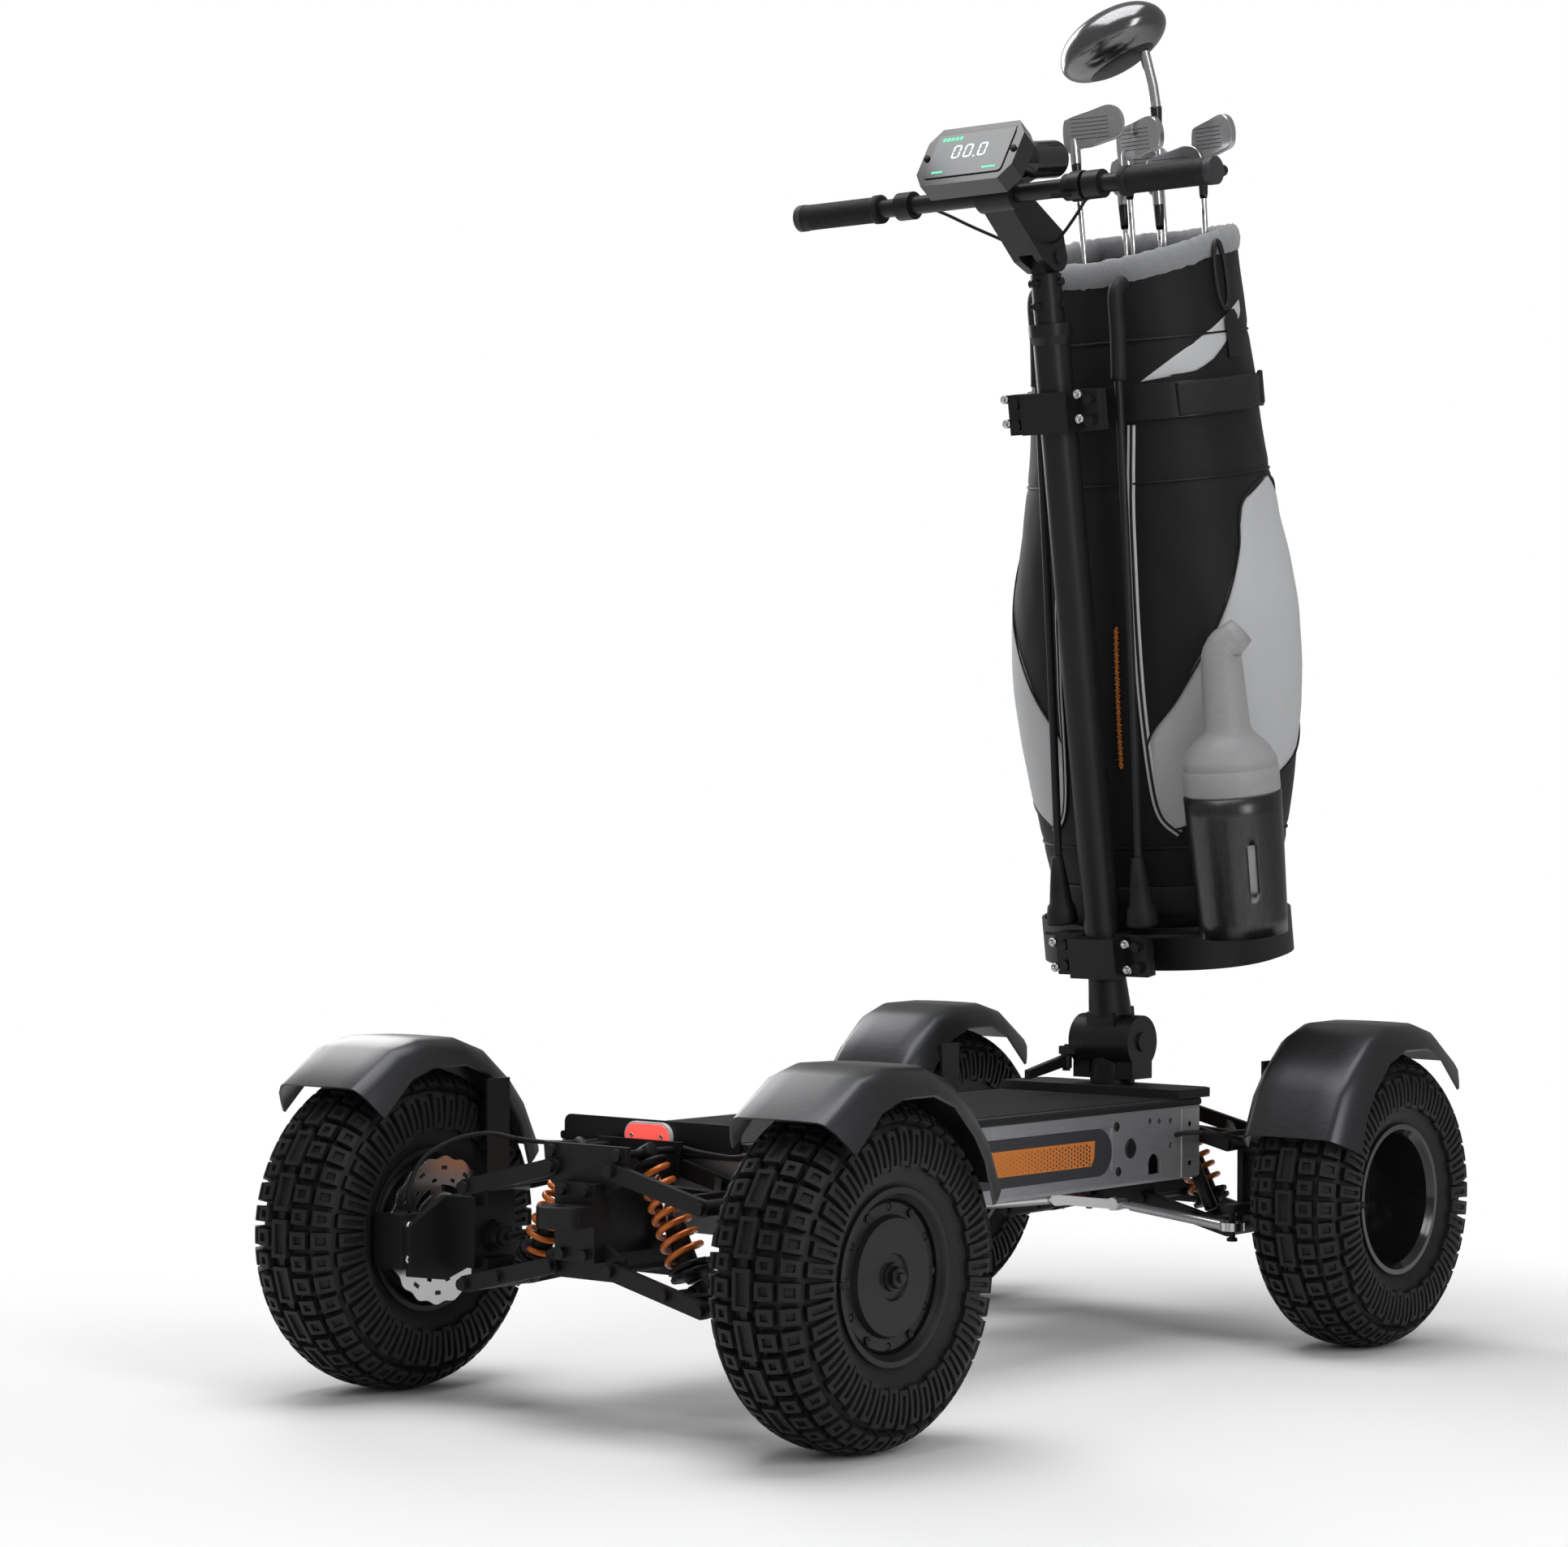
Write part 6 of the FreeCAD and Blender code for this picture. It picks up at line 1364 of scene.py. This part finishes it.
for corner, end, side in corners:
    centre = jointPlace(corner + "roll")
    sign = 1 if side == "left" else -1
    outwards = Matrix.Translation(centre) @ Matrix.Rotation(sign * math.pi / 2, 4, "Y")
    if end == "rear":
        heads = []
        for n in range(6):
            turn = math.radians(60 * n + 30)
            heads.append(moved(screwShape(0.0044, 0.0032), outwards @ Matrix.Translation(
                (0.070 * math.cos(turn), 0.070 * math.sin(turn), 0.0436))))
        newPiece(corner + "hubScrews", *joined(*heads), "castBlack", corner + "rolling", "dark_metal")
        nut = spunShape([(0.0505, 0.0115), (0.0575, 0.0115), (0.059, 0.0098)], 6)
        stub = spunShape([(0.050, 0.0055), (0.0625, 0.0055), (0.0635, 0.0045)], 24)
        newPiece(corner + "axleNut", *moved(joined(nut, stub), outwards), "satinBlack", corner + "carrier",
                 "dark_metal",
                 smooth=False)
    valve = spunShape([(0, 0.0046), (0.003, 0.0040), (0.012, 0.0034), (0.013, 0.0042), (0.024, 0.0042),
                       (0.025, 0.0034)], 20)
    tilt = Matrix.Translation((0, 0.0775, 0.034)) @ Matrix.Rotation(math.radians(-28), 4, "X")
    newPiece(corner + "valve", *moved(valve, outwards @ tilt), "softRubber", corner + "rolling",
             "moulded_black")


def discShape(steps=144):
    # wavy brake disc with two rings of holes, as one skin round the plain disc
    def edge(turn):
        return 0.0802 + 0.0016 * math.sin(18 * turn)

    rings = [0.0300, 0.0420, 0.0500, 0.0540, 0.0580, 0.0625, 0.0665, 0.0710, 0.0750]
    verts, faces = [], []
    for face in (-0.00165, 0.00165):
        for ring in range(len(rings) + 1):
            for n in range(steps):
                turn = 2 * math.pi * n / steps
                radius = rings[ring] if ring < len(rings) else edge(turn)
                verts.append(Vector((radius * math.cos(turn), radius * math.sin(turn), face)))
    wide = len(rings) + 1
    half = wide * steps

    def isHole(ring, n):
        if ring in (3, 6):
            return (n + ring * 2) % 12 in (0, 1, 2)
        return ring == 1 and n % 24 < 15

    for ring in range(wide - 1):
        for n in range(steps):
            m = (n + 1) % steps
            a, b, c, d = ring * steps + n, ring * steps + m, (ring + 1) * steps + m, (ring + 1) * steps + n
            if isHole(ring, n):
                continue
            faces.append((a, b, c, d))
            faces.append((half + d, half + c, half + b, half + a))
            if isHole(ring, n - 1 if n else steps - 1):
                faces.append((a, d, half + d, half + a))
            if isHole(ring, m):
                faces.append((b, c, half + c, half + b))
            if ring + 1 < wide - 1 and isHole(ring + 1, n):
                faces.append((d, c, half + c, half + d))
            if ring and isHole(ring - 1, n):
                faces.append((a, b, half + b, half + a))
    last = (wide - 1) * steps
    for n in range(steps):
        m = (n + 1) % steps
        faces.append((n, m, half + m, half + n))
        faces.append((last + n, last + m, half + last + m, half + last + n))
    return verts, faces


for side, sign in (("left", 1), ("right", -1)):
    corner = "rear_" + side + "_"
    centre = jointPlace(corner + "roll")
    face = Matrix.Translation((sign * 0.2545, centre.y, centre.z)) @ Matrix.Rotation(math.pi / 2, 4, "Y")
    newPiece(corner + "discSkin", *moved(discShape(), face), "steel", corner + "rolling", "dark_metal",
             smooth=False)
    heads = [moved(screwShape(0.0055, 0.005), Matrix.Translation((sign * x, centre.y + y, z))
                   @ Matrix.Rotation(-sign * math.pi / 2, 4, "Y"))
             for x, y, z in ((0.2240, 0.060, 0.158), (0.2240, 0.082, 0.158), (0.2240, 0.060, 0.193),
                             (0.2240, 0.082, 0.193))]
    newPiece(corner + "caliperBolts", *joined(*heads), "steel", corner + "carrier", "dark_metal")
print("wheels made")


# hoses

def hosePiece(name, points, radius, chain, marks, sign, stands=()):
    # one hose as a run of short pieces, each across one joint of the chain of bodies
    # marks are the points where it is cut
    points = [Vector((sign * x, y, z)) for x, y, z in points]
    path = curvePoints(points, 8)
    cuts = [0] + [8 * m for m in marks] + [len(path) - 1]
    for n in range(len(chain) - 1):
        part = path[cuts[n]:cuts[n + 1] + 1]
        piece = newPiece(name + "ABC"[n], *pipeShape(part, radius, 12), "softRubber", None, "moulded_black",
                         stands if n == 0 else ())
        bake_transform(piece)


discX = 0.2545
for side, sign in (("left", 1), ("right", -1)):
    y = 0.5
    corner = "rear_" + side + "_"
    route = [(0.0592, y - 0.043, 0.287), (0.086, y - 0.038, 0.284), (discX - 0.124, y - 0.032, 0.282),
             (discX - 0.096, y - 0.020, 0.285), (discX - 0.066, y - 0.004, 0.290),
             (discX - 0.038, y + 0.022, 0.282),
             (discX - 0.022, y + 0.052, 0.262), (discX - 0.018, y + 0.067, 0.230),
             (discX - 0.014, y + 0.062, 0.2058)]
    hosePiece(side + "BrakeHose", route, 0.0025, ("chassis", corner + "upper", corner + "carrier"), (3,),
              sign,
              ("wheel_hoses",) if side == "left" else ())
    motor = [(0.104, 0.4384, 0.209), (0.110, y - 0.056, 0.205), (0.121, y - 0.050, 0.199),
             (0.134, y - 0.042, 0.191),
             (0.146, y - 0.027, 0.184), (0.1541, y, 0.180)]
    hosePiece(side + "MotorCable", motor, 0.004, ("chassis", corner + "upper", corner + "carrier"), (3,),
              sign)
    corner = "front_" + side + "_"
    front = [(0.1305, -0.385, 0.250), (0.144, -0.389, 0.253), (0.162, -0.402, 0.254), (0.180, -0.422, 0.250),
             (0.194, -0.446, 0.242), (0.208, -0.470, 0.232), (0.211, -0.4845, 0.220)]
    hosePiece(side + "SensorCable", front, 0.003,
              ("chassis", corner + "upper", corner + "carrier", corner + "swivel"),
              (2, 4), sign)
print("hoses made")
